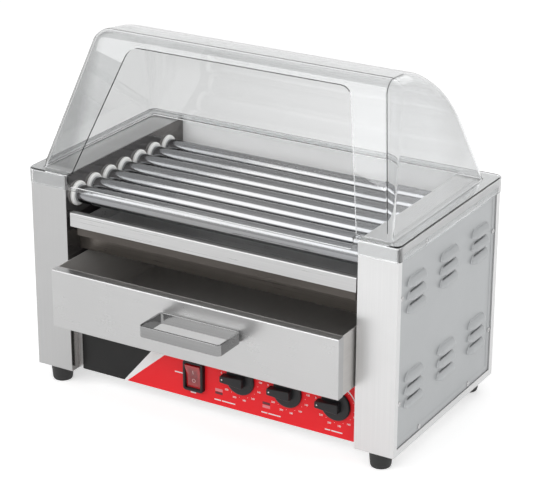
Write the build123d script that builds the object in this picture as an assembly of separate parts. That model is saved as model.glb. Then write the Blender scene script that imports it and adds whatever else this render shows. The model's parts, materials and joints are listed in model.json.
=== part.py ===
from build123d import *
from math import atan, cos, hypot, pi, radians, sin, sqrt, tan
import os

# Hot dog roller grill with a bun warming drawer and a clear thermoformed cover.
# Two sheet-metal towers carry seven heated rollers that a chain turns together.
# Units are millimetres, X to the right seen from the front, Y to the back, Z up.
# The pieces are drawn about a point on the floor under the middle of the cabinet,
# and written about the middle of the whole outline, with the drawer a little open.

# ---------------------------------------------------------------- cabinet
WIDTH = 580.0            # over both towers
DEPTH = 307.0            # front face to rear face of the towers
BODY_H = 301.0           # tower height without feet
TOWER_W = 58.8           # one tower, side to side
SHEET = 1.0              # stainless sheet of all folded housings
FOLD_R = 2.0             # outside radius of the towers' folds
GAP = 0.3                # air between pieces that move apart
CUT = 1.0                # how far a cutting tool runs past the face it cuts

# ---------------------------------------------------------------- feet
FOOT_H = 24.0
FOOT_TOP_R = 16.5
FOOT_TOE_R = 14.5
FOOT_BEVEL = 2.0
FOOT_INSET = 19.0        # foot centre in from the tower's front and rear
FOOT_SIDE = 28.0         # foot centre in from the tower's outer side

# ---------------------------------------------------------------- side panels
RIM = 10.0               # tower face left round the side panel
RIM_STEP = 2.6           # how far the ledge behind the panel lies back
LEDGE = 12.0             # width of the ledge that the panel is screwed to
PANEL_CLEAR = 0.6        # gap round the side panel
LOUVER_L = 50.0
LOUVER_R = 6.5           # a louver stands out and rises by this much
LOUVER_END = 6.0         # slope length at each end of a louver
LOUVER_PITCH = 18.7
LOUVER_COLUMNS = 3
LOUVER_COLUMN_PITCH = 96.5
LOUVER_ROWS = 3
LOUVER_LOW_Z = 81.0      # lip of the lowest louver over the tower's foot line
LOUVER_BANK_Z = 137.0    # upper bank over the lower bank
SCREW_HEAD_R = 3.6
SCREW_TOP_R = 2.9
SCREW_HEAD_H = 1.6
SCREW_EDGE = 4.6         # screw centre in from the side panel's edge
SCREW_Y = 76.0           # half spacing of the screws in the top and bottom rows
SCREW_Z = 75.5           # half spacing of the screws in the front and rear columns

# ---------------------------------------------------------------- rollers
ROLLERS = 7
CHAIN_PITCH = 6.35
DRIVE_SPACE = 60.0       # depth kept free for the end sprockets and the folds, at least
ROLLER_R = 12.7
ROLLER_WALL = 1.0
ROLLER_DROP = 34.0       # roller axes under the tower tops
ROLLER_MID_Y = -10.5     # middle roller behind the cabinet's centre
NECK_R = 7.5             # the roller's reduced ends
NECK_BORE_R = 6.1
TAPER_L = 4.0
NECK_PAST = 2.0          # neck past its sprocket
SEAL_APART = 2.5         # one white ring seal to the next
SEAL_T = 5.0
SEAL_HUB_R = 10.2
SEAL_HUB_PAST = 2.0      # seal hub past the roller wall
SEAL_FIT = 0.08          # radial running fit of the neck in its seal
WALL_T = 1.2             # roller wall sheet

# ---------------------------------------------------------------- chain drive
TEETH = 12
CHAIN_ROLLER_R = 1.65
PIN_SIDES = 6            # chain rollers are drawn six-sided
CHAIN_INNER_W = 3.5      # between the link plates
LINK_T = 1.3             # an inner and an outer link plate together
LINK_W = 5.2
SPROCKET_T = 2.8
TOOTH_R = 13.3
TOOTH_GAP = 3.7          # width of a tooth gap at its floor
TOOTH_FLARE = 20.0       # flank angle of a tooth gap, degrees
TOOTH_FLOOR_R = 10.4
CHAIN_X = 17.0           # chain's middle plane outward of the roller wall
RUN_DOWN = 10            # pitches from an end roller down to the lower sprockets
HUB_CLEAR = 0.3          # sprocket hub under the link plates
HUB_L = 5.0

# ---------------------------------------------------------------- gear motor
MOTOR_R = 27.0
MOTOR_L = 24.0
MOTOR_SHAFT_R = 3.5
MOTOR_PLATE_T = 1.5
MOTOR_EDGE = 1.5
MOTOR_MARGIN = 3.0       # bracket plate past the motor, all round
MOTOR_CLEAR = 4.0        # chain to the motor's plate
MOTOR_SHAFT_GAP = 2.0    # shaft's end to the bottom of its bore
IDLER_STUD_R = 4.0
IDLER_COLLAR_R = 6.4
IDLER_COLLAR_T = 2.0
IDLER_FIT = 0.06

# ---------------------------------------------------------------- roller heaters
ROD_R = 4.0
ROD_X = 29.0             # bracket plane outward of the roller wall
ROD_PAST = 4.0           # rod past its bracket
BRACKET_T = 1.5
BRACKET_H = 14.0
BRACKET_CLEAR = 9.0      # bracket's ends past the first and last sprockets

# ---------------------------------------------------------------- inner levels
PANEL_Y = 17.5           # control panel's face behind the tower fronts
BAY_H = 85.0             # top of the bay floor over the tower's foot line
WARMER_DROP = 57.0       # top of the warmer plate under the roller axes
FASCIA_Y = 30.5          # warmer fascia behind the tower fronts
FASCIA_H = 27.0
REAR_INSET = 5.5         # rear panel's face in front of the tower rears
FLANGE = 12.0            # stiffening folds of base, floor and warmer plate

# ---------------------------------------------------------------- drip tray
LIP_H = 20.5
LIP_DROP = 21.0          # lip's top under the roller axes
LIP_D = 9.0
LIP_Y = 3.5              # lip's face behind the tower fronts
TRAY_WALL_H = 22.0
TRAY_SIDE_GAP = 9.0      # tray body to roller wall, under the seals
TRAY_REAR_GAP = 14.0
LIP_SIDE_GAP = 3.7

# ---------------------------------------------------------------- drawer
DRAWER_SIDE_GAP = 2.7    # drawer front to roller wall
DRAWER_HEADROOM = 6.5    # drawer's rim under the warmer fascia
DRAWER_LIFT = 4.5        # underside of the drawer over the bay floor
DRAWER_OUT = 43.5        # how far the drawer stands open at rest
FRONT_D = 14.0           # depth of the folded drawer front
DRAWER_TRAY_L = 270.0
TRAY_INSET = 1.5         # drawer tray side behind the edge of its front
RUNNER_W = 16.0
RUNNER_H = 22.0
RUNNER_T = 1.2

# ---------------------------------------------------------------- drawer handle
HANDLE_W = 128.0
HANDLE_D = 55.0
HANDLE_H = 16.0
HANDLE_BAR = 3.5
HANDLE_R = 7.0
HANDLE_X = 18.0          # handle's middle to the right of the drawer's middle
HANDLE_DROP = 30.0       # handle's middle under the drawer's rim
HANDLE_SCREW_SPAN = 96.0
HANDLE_SCREW_R = 2.0
HANDLE_SCREW_IN = 3.0    # how deep a screw bites into the handle bar

# ---------------------------------------------------------------- controls
KNOBS = 3
KNOB_PITCH = 75.0
KNOB_EDGE = 37.7         # last knob's axis to the right roller wall
KNOB_LIFT = 49.0         # knob axes over the tower's foot line
KNOB_OFF = 1.0           # air between panel and knob
SKIRT_R = 22.5
SKIRT_BEVEL = 2.0
KNOB_SKIRT_T = 4.0
KNOB_DOME = 1.0          # rise of the knob's face from its edge to the grip
GRIP_W = 15.4            # grip's blunt end
GRIP_TIP_W = 11.0        # grip's pointer end
GRIP_TAIL = 10.0         # blunt end past the axis
GRIP_H = 10.0
GRIP_ROUND = 2.4
GRIP_DRAFT = 5.0         # degrees
POINTER_L = 26.5         # pointer end past the axis
SHAFT_IN = 8.0           # how deep the shaft reaches into the grip
SHAFT_R = 3.0
SHAFT_FIT = 0.06
SHAFT_END_GAP = 1.0      # shaft's ends to the bottoms of their bores
THERMOSTAT_W = 38.0
THERMOSTAT_D = 24.0
BUSHING_R = 5.0
BUSHING_PAST = 2.0       # bushing past the panel's face
SWITCH_PITCH = 75.0      # switch to the left of the first knob
SWITCH_LIFT = 37.0       # switch centre over the tower's foot line
BEZEL_W = 33.0
BEZEL_H = 46.0
BEZEL_T = 2.5
BEZEL_BEVEL = 1.0
SWITCH_WALL = 1.9        # switch body round the rocker's well
SWITCH_END_WALL = 1.8
WELL_D = 7.5             # depth of the rocker's well
WELL_END_GAP = 1.2
ROCKER_W = 24.0
ROCKER_H = 36.0
ROCKER_RISE = 5.5        # rocker's ends over its pin
ROCKER_WAIST = 3.6       # bottom of the V face over the pin
ROCKER_EDGE = 0.5        # ends' lower corners under the pin
ROCKER_KEEL = 4.0        # belly under the pin
ROCKER_TILT = 9.0        # rocker's lean at rest, degrees
ROCKER_PIN_R = 1.5
PIN_FIT = 0.06
PIN_PAST = 1.2           # pin past the rocker's sides
SWITCH_D = 24.0

# ---------------------------------------------------------------- rear and base
GLAND_EDGE = 61.2        # gland's axis to the right roller wall
GLAND_LIFT = 36.0        # gland's axis over the tower's foot line
GLAND_THREAD_R = 8.0
GLAND_BORE_R = 4.5
GLAND_NUT_R = 12.0
GLAND_NUT_T = 4.5
TERMINAL_W = 52.0
TERMINAL_D = 20.0
TERMINAL_H = 18.0
TERMINAL_GAP = 60.0      # terminal block in front of the rear panel
TERMINALS = 3
POCKET_W = 11.5

# ---------------------------------------------------------------- warmer element
ELEMENT_R = 3.25
ELEMENT_DROP = 14.0      # element's middle under the warmer plate
ELEMENT_LEG = 84.0       # between the two straight legs
ELEMENT_END_GAP = 14.4   # bend to the left roller wall
ELEMENT_END_PAST = 6.0   # ends past the right roller wall
ELEMENT_Y = -20.0        # front leg behind the cabinet's centre
CLIP_INSET = 93.0        # clips to the roller walls
CLIP_W = 10.0
CLIP_T = 1.0

# ---------------------------------------------------------------- clear cover
COVER_T = 3.0
COVER_H = 190.0          # cover's peak over the tower tops
COVER_INSET = 15.0       # foot of the end walls in from the tower sides
COVER_DRAFT = 0.2        # lean of the end walls, run over rise
HOOD_FRONT = 5.0         # foot of the slanted front behind the tower fronts
FRONT_LEAN = 0.427       # lean of the front, run over rise
HOOD_REAR = 20.5         # foot of the rear wall in front of the tower rears
REAR_LEAN = 0.30
TOP_FALL = 0.1           # fall of the top towards the rear
BROW_R = 24.0
CROWN_R = 165.0
CORNER_R = 22.0
SKIRT_DROP = 19.0        # skirt's edge under the tower tops
SKIRT_GAP = 0.5
SKIRT_CORNER_R = 4.0
MOUTH_EDGE = 6.2         # foot of the cut-out's sides in from the roller walls
MOUTH_TAPER = 0.299      # lean of the cut-out's sides, run over rise
MOUTH_TOP_DROP = 16.0    # top edge of the cut-out under the peak
MOUTH_DROP = 13.5        # bottom edge of the cut-out under the tower tops
MOUTH_R = 14.0

# ---------------------------------------------------------------- derived places
TOP_Z = FOOT_H + BODY_H
OUT_X = WIDTH / 2
WALL_X = OUT_X - TOWER_W                 # inner face of a tower
FRONT_Y = -DEPTH / 2
REAR_Y = DEPTH / 2
ROLLER_Z = TOP_Z - ROLLER_DROP
WARMER_Z = ROLLER_Z - WARMER_DROP
BAY_Z = FOOT_H + BAY_H
LIP_TOP_Z = ROLLER_Z - LIP_DROP
DRAWER_W = 2 * (WALL_X - DRAWER_SIDE_GAP)
DRAWER_Z = BAY_Z + DRAWER_LIFT
DRAWER_TOP_Z = WARMER_Z - FASCIA_H - DRAWER_HEADROOM
LEDGE_X = OUT_X - RIM_STEP               # face of the ledge, back of the side panel
PANEL_FACE_Y = FRONT_Y + PANEL_Y
PANEL_BACK_Y = PANEL_FACE_Y + WALL_T
REAR_FACE_Y = REAR_Y - REAR_INSET        # rear face of the rear panel
REAR_IN_Y = REAR_FACE_Y - SHEET
FASCIA_FACE_Y = FRONT_Y + FASCIA_Y
PITCHES_APART = int((DEPTH - DRIVE_SPACE) / (ROLLERS - 1) / CHAIN_PITCH)
ROLLER_PITCH = PITCHES_APART * CHAIN_PITCH
SEAL_R = (ROLLER_PITCH - SEAL_APART) / 2
ROLLER_Y = [ROLLER_MID_Y + (k - (ROLLERS - 1) / 2) * ROLLER_PITCH for k in range(ROLLERS)]
WALL_BACK_X = WALL_X + WALL_T            # outer face of a roller wall
DRIVE_X = WALL_BACK_X + CHAIN_X
PITCH_R = CHAIN_PITCH / 2 / sin(radians(180 / TEETH))
HUB_R = PITCH_R * cos(radians(180 / TEETH)) - LINK_W / 2 - HUB_CLEAR
LOWER_Y = [ROLLER_Y[0] + RUN_DOWN * CHAIN_PITCH * cos(radians(60)),
           ROLLER_Y[-1] - RUN_DOWN * CHAIN_PITCH * cos(radians(60))]
LOWER_Z = ROLLER_Z - RUN_DOWN * CHAIN_PITCH * sin(radians(60))
DRAWER_FACE_Y = FRONT_Y - DRAWER_OUT
DRAWER_BACK_Y = DRAWER_FACE_Y + FRONT_D
HANDLE_MID_Z = DRAWER_TOP_Z - HANDLE_DROP
OUTLINE_FRONT_Y = DRAWER_FACE_Y - HANDLE_D
OUTLINE_REAR_Y = REAR_Y + SKIRT_GAP + COVER_T
MIDDLE_Y = (OUTLINE_FRONT_Y + OUTLINE_REAR_Y) / 2
UPRIGHT = (Align.CENTER, Align.CENTER, Align.MIN)
KNOB_X = [WALL_X - KNOB_EDGE - (KNOBS - 1 - k) * KNOB_PITCH for k in range(KNOBS)]
KNOB_Z = FOOT_H + KNOB_LIFT
SWITCH_X = KNOB_X[0] - SWITCH_PITCH
SWITCH_Z = FOOT_H + SWITCH_LIFT
GLAND_X = WALL_X - GLAND_EDGE
GLAND_Z = FOOT_H + GLAND_LIFT
ELEMENT_Z = WARMER_Z - SHEET - ELEMENT_DROP


def span_box(x0, x1, y0, y1, z0, z1):
    """A box between two corners."""
    size = Box(x1 - x0, y1 - y0, z1 - z0)
    return Pos((x0 + x1) / 2, (y0 + y1) / 2, (z0 + z1) / 2) * size


def rod_x(radius, x0, x1, y, z):
    """A round bar along X."""
    return Pos((x0 + x1) / 2, y, z) * Rot(0, 90, 0) * Cylinder(radius, x1 - x0)


def rod_y(radius, y0, y1, x, z):
    """A round bar along Y."""
    return Pos(x, (y0 + y1) / 2, z) * Rot(90, 0, 0) * Cylinder(radius, y1 - y0)


def turned_x(points, y, z):
    """A solid turned round an X axis from a half outline of (x, radius) points."""
    outline = make_face(Polyline(*[(x, r) for x, r in points], close=True))
    return Pos(0, y, z) * revolve(outline, Axis.X)


def turned_y(points, x, z):
    """A solid turned round a Y axis from a half outline of (y, radius) points."""
    outline = make_face(Polyline(*[(r, y) for y, r in points], close=True))
    return Pos(x, 0, z) * revolve(outline, Axis.Y)


def fold_pan(x0, x1, y0, y1, z0, z1):
    """A sheet pan open upward: floor and four upstanding sides."""
    hollow = span_box(x0 + SHEET, x1 - SHEET, y0 + SHEET, y1 - SHEET, z0 + SHEET, z1 + SHEET)
    return span_box(x0, x1, y0, y1, z0, z1) - hollow


# ---------------------------------------------------------------- towers
def side_frame(grow, x0, x1):
    """Block over the side window of the right tower, the window grown by a margin."""
    y_edge = DEPTH / 2 - RIM + grow
    return span_box(x0, x1, -y_edge, y_edge, FOOT_H + RIM - grow, TOP_Z - RIM + grow)


def tower_shell():
    """Right tower: one folded sheet, open inward, with a stepped ledge for its panel."""
    block = span_box(WALL_X, OUT_X, FRONT_Y, REAR_Y, FOOT_H, TOP_Z)
    block = fillet(block.edges().filter_by(Axis.X), FOLD_R)
    shell = block - span_box(
        WALL_X - SHEET, OUT_X - SHEET,
        FRONT_Y + SHEET, REAR_Y - SHEET,
        FOOT_H + SHEET, TOP_Z - SHEET)
    shell -= side_frame(0, OUT_X - 2 * SHEET, OUT_X + SHEET)
    step = side_frame(SHEET, LEDGE_X - SHEET, OUT_X - SHEET / 2)
    step -= side_frame(0, LEDGE_X, OUT_X)
    step -= side_frame(-LEDGE, LEDGE_X - 2 * SHEET, OUT_X)
    return shell + step


def roller_wall():
    """Right roller wall, with a hole for each seal hub."""
    wall = span_box(
        WALL_X, WALL_BACK_X,
        FRONT_Y + SHEET, REAR_Y - SHEET,
        FOOT_H + SHEET, TOP_Z - SHEET)
    for y in ROLLER_Y:
        wall -= rod_x(SEAL_HUB_R, WALL_X - CUT, WALL_BACK_X + CUT, y, ROLLER_Z)
    return wall


def element_holes():
    """Clearance holes in the right roller wall for the warmer element's ends."""
    return [rod_x(ELEMENT_R + GAP, WALL_X - CUT, WALL_BACK_X + CUT, y, ELEMENT_Z)
            for y in (ELEMENT_Y, ELEMENT_Y + ELEMENT_LEG)]


def louver_block(radius, length, end):
    """Quarter-round bulge along Y with sloping ends, its lip at z = 0, its back at x = 0."""
    round_bar = rod_y(radius, -length / 2, length / 2, 0, 0)
    quarter = round_bar & span_box(0, radius, -length / 2, length / 2, 0, radius)
    half = length / 2
    plan = make_face(Polyline((0, -half), (radius, end - half), (radius, half - end), (0, half), close=True))
    return quarter & extrude(plan, radius)


def louver_places():
    """Lip centres (y, z) of every louver of one side panel."""
    places = []
    for column in range(LOUVER_COLUMNS):
        y = (column - (LOUVER_COLUMNS - 1) / 2) * LOUVER_COLUMN_PITCH
        for bank in range(2):
            for row in range(LOUVER_ROWS):
                z = FOOT_H + LOUVER_LOW_Z - LOUVER_PITCH + bank * LOUVER_BANK_Z + row * LOUVER_PITCH
                places.append((y, z))
    return places


def side_panel():
    """Right side panel: a flat plate with pressed louvers that open downward."""
    plate = side_frame(-PANEL_CLEAR, LEDGE_X, LEDGE_X + SHEET)
    face_x = LEDGE_X + SHEET
    hood = louver_block(LOUVER_R, LOUVER_L, LOUVER_END)
    hollow = louver_block(LOUVER_R - SHEET, LOUVER_L - 2 * SHEET, LOUVER_END)
    slot = span_box(-2 * SHEET, 0, SHEET - LOUVER_L / 2, LOUVER_L / 2 - SHEET, 0, LOUVER_R - SHEET)
    places = [Pos(face_x, y, z) for y, z in louver_places()]
    panel = plate + [place * hood for place in places]
    return panel - [place * (hollow + slot) for place in places]


def panel_screws():
    """Screw heads round the right side panel."""
    y_edge = DEPTH / 2 - RIM - PANEL_CLEAR - SCREW_EDGE
    z_mid = FOOT_H + BODY_H / 2
    z_edge = BODY_H / 2 - RIM - PANEL_CLEAR - SCREW_EDGE
    places = [(y, z_mid + z) for y in (-SCREW_Y, SCREW_Y) for z in (-z_edge, z_edge)]
    places += [(y, z_mid + z) for y in (-y_edge, y_edge) for z in (-SCREW_Z, SCREW_Z)]
    head = Rot(0, 90, 0) * Cone(SCREW_HEAD_R, SCREW_TOP_R, SCREW_HEAD_H)
    return [Pos(LEDGE_X + SHEET + SCREW_HEAD_H / 2, y, z) * head for y, z in places]


# ---------------------------------------------------------------- cabinet sheets
def base_pan():
    """Floor pan between the towers."""
    return fold_pan(-WALL_X, WALL_X, PANEL_BACK_Y, REAR_IN_Y, FOOT_H, FOOT_H + FLANGE)


def rear_panel():
    """Rear panel: a shallow pan that opens rearward, with the cable gland's hole."""
    panel = span_box(-WALL_X, WALL_X, REAR_IN_Y, REAR_Y, FOOT_H, TOP_Z)
    panel -= span_box(
        SHEET - WALL_X, WALL_X - SHEET,
        REAR_FACE_Y, REAR_Y + SHEET,
        FOOT_H + SHEET, TOP_Z - SHEET)
    return panel - rod_y(GLAND_THREAD_R, REAR_IN_Y - CUT, REAR_Y, GLAND_X, GLAND_Z)


def bay_floor():
    """Shelf between the control box and the drawer bay, folded down at its rear."""
    floor = span_box(-WALL_X, WALL_X, PANEL_BACK_Y, REAR_IN_Y, BAY_Z - SHEET, BAY_Z)
    return floor + span_box(-WALL_X, WALL_X, REAR_IN_Y - SHEET, REAR_IN_Y, BAY_Z - FLANGE, BAY_Z)


def warmer_plate():
    """Ceiling of the drawer bay: a plate with its front fascia and a rear fold."""
    plate = span_box(-WALL_X, WALL_X, FASCIA_FACE_Y, REAR_IN_Y, WARMER_Z - SHEET, WARMER_Z)
    plate += span_box(
        -WALL_X, WALL_X, FASCIA_FACE_Y, FASCIA_FACE_Y + SHEET, WARMER_Z - FASCIA_H, WARMER_Z)
    plate += span_box(
        -WALL_X, WALL_X, FASCIA_FACE_Y, FASCIA_FACE_Y + FLANGE / 2,
        WARMER_Z - FASCIA_H, WARMER_Z - FASCIA_H + SHEET)
    return plate + span_box(
        -WALL_X, WALL_X, REAR_IN_Y - SHEET, REAR_IN_Y, WARMER_Z - FLANGE, WARMER_Z)


def rear_screws():
    """Screw heads that hold the rear panel to the bay floor and the warmer plate."""
    head = Rot(-90, 0, 0) * Cone(SCREW_HEAD_R, SCREW_TOP_R, SCREW_HEAD_H)
    reach = WALL_X - 2 * FLANGE
    rows = (BAY_Z - FLANGE / 2, WARMER_Z - FLANGE / 2)
    y = REAR_FACE_Y + SCREW_HEAD_H / 2
    return [Pos(x, y, z) * head for x in (-reach, 0, reach) for z in rows]


def feet():
    """Four tapered rubber feet with bevelled toes."""
    foot = Cone(FOOT_TOE_R, FOOT_TOP_R, FOOT_H)
    foot = chamfer(foot.edges().group_by(Axis.Z)[0], FOOT_BEVEL)
    x = OUT_X - FOOT_SIDE
    y = DEPTH / 2 - FOOT_INSET
    return [Pos(sx * x, sy * y, FOOT_H / 2) * foot for sx in (-1, 1) for sy in (-1, 1)]


# ---------------------------------------------------------------- rollers
def roller(y):
    """Polished tube with tapered shoulders and reduced necks, hollow throughout."""
    neck_x = DRIVE_X + SPROCKET_T / 2 + NECK_PAST
    body_x = WALL_X - SEAL_T - GAP - TAPER_L
    taper_x = body_x + TAPER_L
    bore_r = ROLLER_R - ROLLER_WALL
    half = [(neck_x, NECK_R), (taper_x, NECK_R), (body_x, ROLLER_R)]
    bore = [(body_x, bore_r), (taper_x, NECK_BORE_R), (neck_x, NECK_BORE_R)]
    outline = half + [(-x, r) for x, r in reversed(half)]
    outline += [(-x, r) for x, r in reversed(bore)] + bore
    return turned_x(outline, y, ROLLER_Z)


def seals():
    """White ring seals of the right wall: a flange inside, a hub through the wall."""
    bore_r = NECK_R + SEAL_FIT
    end_x = WALL_BACK_X + SEAL_HUB_PAST
    face_x = WALL_X - SEAL_T
    outline = [(face_x, bore_r), (face_x, SEAL_R), (WALL_X, SEAL_R), (WALL_X, SEAL_HUB_R),
               (end_x, SEAL_HUB_R), (end_x, bore_r)]
    return [turned_x(outline, y, ROLLER_Z) for y in ROLLER_Y]


def heater_rods():
    """Heating rods that stand still inside the rollers."""
    reach = WALL_BACK_X + ROD_X + BRACKET_T + ROD_PAST
    return [rod_x(ROD_R, -reach, reach, y, ROLLER_Z) for y in ROLLER_Y]


def heater_bracket():
    """Right bracket: a strip with a hole for each rod, its ends folded back to the wall."""
    x0 = WALL_BACK_X + ROD_X
    x1 = x0 + BRACKET_T
    y0 = ROLLER_Y[0] - TOOTH_R - BRACKET_CLEAR
    y1 = ROLLER_Y[-1] + TOOTH_R + BRACKET_CLEAR
    z0 = ROLLER_Z - BRACKET_H / 2
    z1 = ROLLER_Z + BRACKET_H / 2
    strip = span_box(x0, x1, y0, y1, z0, z1)
    strip += span_box(WALL_BACK_X, x1, y0, y0 + BRACKET_T, z0, z1)
    strip += span_box(WALL_BACK_X, x1, y1 - BRACKET_T, y1, z0, z1)
    for y in ROLLER_Y:
        strip -= rod_x(ROD_R, x0 - CUT, x1 + CUT, y, ROLLER_Z)
    return strip


# ---------------------------------------------------------------- chain drive
def sprocket_disc():
    """Toothed disc in its own YZ plane; a tooth gap points straight up."""
    step = 360 / TEETH
    depth = TOOTH_R - TOOTH_FLOOR_R
    flare = depth * tan(radians(TOOTH_FLARE))
    gap = make_face(Polyline(
        (-TOOTH_GAP / 2, TOOTH_FLOOR_R), (TOOTH_GAP / 2, TOOTH_FLOOR_R),
        (TOOTH_GAP / 2 + flare, TOOTH_R), (-TOOTH_GAP / 2 - flare, TOOTH_R), close=True))
    tip_r = TOOTH_R / cos(radians(step / 2))
    blank = RegularPolygon(tip_r, TEETH, rotation=step / 2)
    for k in range(TEETH):
        blank -= Rot(0, 0, k * step) * gap
    return blank


def sprocket(bore_r, y, z):
    """Sprocket on an X axis with its hub towards the roller wall."""
    disc = extrude(sprocket_disc(), SPROCKET_T / 2, both=True)
    disc += Pos(0, 0, -(SPROCKET_T + HUB_L) / 2) * Cylinder(HUB_R, HUB_L)
    disc -= Cylinder(bore_r, 2 * (SPROCKET_T + HUB_L + CUT))
    return Pos(DRIVE_X, y, z) * Plane.YZ.location * disc


def chain_corners():
    """Pin centres (y, z) where the closed chain bends, clockwise from over the front roller."""
    wheels = [(ROLLER_Y[0], ROLLER_Z, 90, 210), (ROLLER_Y[-1], ROLLER_Z, -30, 90),
              (LOWER_Y[1], LOWER_Z, -90, -30), (LOWER_Y[0], LOWER_Z, -150, -90)]
    corners = []
    for y, z, leave, arrive in wheels:
        bends = round((arrive - leave) * TEETH / 360)
        for bend in range(bends + 1):
            angle = radians(arrive - bend * 360 / TEETH)
            corners.append((y + PITCH_R * cos(angle), z + PITCH_R * sin(angle)))
    return corners


def chain_stations():
    """Every pin centre (y, z) of the chain, one chain pitch apart."""
    corners = chain_corners()
    stations = []
    for (y0, z0), (y1, z1) in zip(corners, corners[1:] + corners[:1]):
        links = round(hypot(y1 - y0, z1 - z0) / CHAIN_PITCH)
        stations += [(y0 + (y1 - y0) * k / links, z0 + (z1 - z0) * k / links) for k in range(links)]
    return stations


def drive_chain():
    """Closed roller chain: two bands of link plates with a roller between them at every pin."""
    line = make_face(Polyline(*chain_corners(), close=True))
    outside = offset(line, LINK_W / 2, kind=Kind.INTERSECTION)
    inside = offset(line, -LINK_W / 2, kind=Kind.INTERSECTION)
    band = Plane.YZ.location * extrude(outside - inside, LINK_T)
    half = CHAIN_INNER_W / 2
    pieces = [Pos(DRIVE_X + half, 0, 0) * band, Pos(DRIVE_X - half - LINK_T, 0, 0) * band]
    pin = Plane.YZ.location * extrude(RegularPolygon(CHAIN_ROLLER_R, PIN_SIDES), half, both=True)
    return pieces + [Pos(DRIVE_X, y, z) * pin for y, z in chain_stations()]


def motor_face_x():
    """Mounting face of the gear motor, clear of the chain and the roller necks."""
    return DRIVE_X + CHAIN_INNER_W / 2 + LINK_T + MOTOR_CLEAR


def gear_motor():
    """Round gear motor with a blind bore for its output shaft."""
    x0 = motor_face_x() + MOTOR_PLATE_T
    body = rod_x(MOTOR_R, x0, x0 + MOTOR_L, LOWER_Y[1], LOWER_Z)
    body = chamfer(body.edges().filter_by(GeomType.CIRCLE).sort_by(Axis.X)[-1], MOTOR_EDGE)
    return body - rod_x(MOTOR_SHAFT_R + SHAFT_FIT, x0 - CUT, x0 + MOTOR_L / 2, LOWER_Y[1], LOWER_Z)


def motor_bracket():
    """Channel that holds the motor off the roller wall, legs above and below the chain."""
    x1 = motor_face_x() + MOTOR_PLATE_T
    y = LOWER_Y[1]
    half = MOTOR_R + MOTOR_MARGIN
    inner = half - MOTOR_PLATE_T
    block = span_box(WALL_BACK_X, x1, y - half / 2, y + half / 2, LOWER_Z - half, LOWER_Z + half)
    block -= span_box(WALL_BACK_X - CUT, motor_face_x(), y - half, y + half, LOWER_Z - inner, LOWER_Z + inner)
    return block - rod_x(2 * MOTOR_SHAFT_R, motor_face_x() - CUT, x1 + CUT, y, LOWER_Z)


def motor_sprocket():
    """Driving sprocket made in one with the motor's output shaft."""
    wheel = sprocket(MOTOR_SHAFT_R, LOWER_Y[1], LOWER_Z)
    end_x = motor_face_x() + MOTOR_PLATE_T + MOTOR_L / 2 - MOTOR_SHAFT_GAP
    return wheel + rod_x(MOTOR_SHAFT_R, DRIVE_X - SPROCKET_T / 2 - HUB_L, end_x, LOWER_Y[1], LOWER_Z)


def idler_stud():
    """Shouldered stud on the roller wall that the idler sprocket runs on."""
    shoulder_x = DRIVE_X - SPROCKET_T / 2 - HUB_L - GAP
    head_x = DRIVE_X + SPROCKET_T / 2 + GAP
    end_x = head_x + IDLER_COLLAR_T
    outline = [(WALL_BACK_X, 0), (WALL_BACK_X, IDLER_COLLAR_R), (shoulder_x, IDLER_COLLAR_R),
               (shoulder_x, IDLER_STUD_R), (head_x, IDLER_STUD_R), (head_x, IDLER_COLLAR_R),
               (end_x, IDLER_COLLAR_R), (end_x, 0)]
    return turned_x(outline, LOWER_Y[0], LOWER_Z)


# ---------------------------------------------------------------- drip tray
def drip_tray():
    """Shallow tray under the rollers, its front folded over into a pull lip."""
    floor_z = WARMER_Z + GAP
    lip_y = FRONT_Y + LIP_Y
    front_y = lip_y + LIP_D
    side_x = WALL_X - TRAY_SIDE_GAP
    lip_x = WALL_X - LIP_SIDE_GAP
    tray = fold_pan(-side_x, side_x, front_y, REAR_IN_Y - TRAY_REAR_GAP, floor_z, floor_z + TRAY_WALL_H)
    tray += span_box(-side_x, side_x, front_y, front_y + SHEET, floor_z, LIP_TOP_Z)
    lip = span_box(-lip_x, lip_x, lip_y, front_y + SHEET, LIP_TOP_Z - LIP_H, LIP_TOP_Z)
    lip = fillet(lip.edges().filter_by(Axis.X).group_by(Axis.Z)[-1], FOLD_R)
    lip -= span_box(
        -lip_x - CUT, lip_x + CUT,
        lip_y + SHEET, front_y + SHEET + CUT,
        LIP_TOP_Z - LIP_H - CUT, LIP_TOP_Z - FOLD_R)
    return tray + lip


# ---------------------------------------------------------------- drawer
def drawer_tray():
    """Bun tray, open at the top."""
    side_x = DRAWER_W / 2 - TRAY_INSET
    return fold_pan(
        -side_x, side_x,
        DRAWER_BACK_Y, DRAWER_BACK_Y + DRAWER_TRAY_L,
        DRAWER_Z, DRAWER_TOP_Z)


def drawer_front():
    """Folded front: a shallow pan that opens rearward against the tray."""
    half = DRAWER_W / 2
    front = span_box(-half, half, DRAWER_FACE_Y, DRAWER_BACK_Y, DRAWER_Z, DRAWER_TOP_Z)
    front = fillet(front.edges().group_by(Axis.Y)[0], FOLD_R)
    front -= span_box(
        SHEET - half, half - SHEET,
        DRAWER_FACE_Y + SHEET, DRAWER_BACK_Y + CUT,
        DRAWER_Z + SHEET, DRAWER_TOP_Z - SHEET)
    for x in handle_screw_x():
        front -= rod_y(HANDLE_SCREW_R, DRAWER_FACE_Y - CUT, DRAWER_FACE_Y + SHEET + CUT, x, HANDLE_MID_Z)
    return front


def handle_screw_x():
    """Places of the handle's two screws."""
    return [HANDLE_X - HANDLE_SCREW_SPAN / 2, HANDLE_X + HANDLE_SCREW_SPAN / 2]


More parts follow.
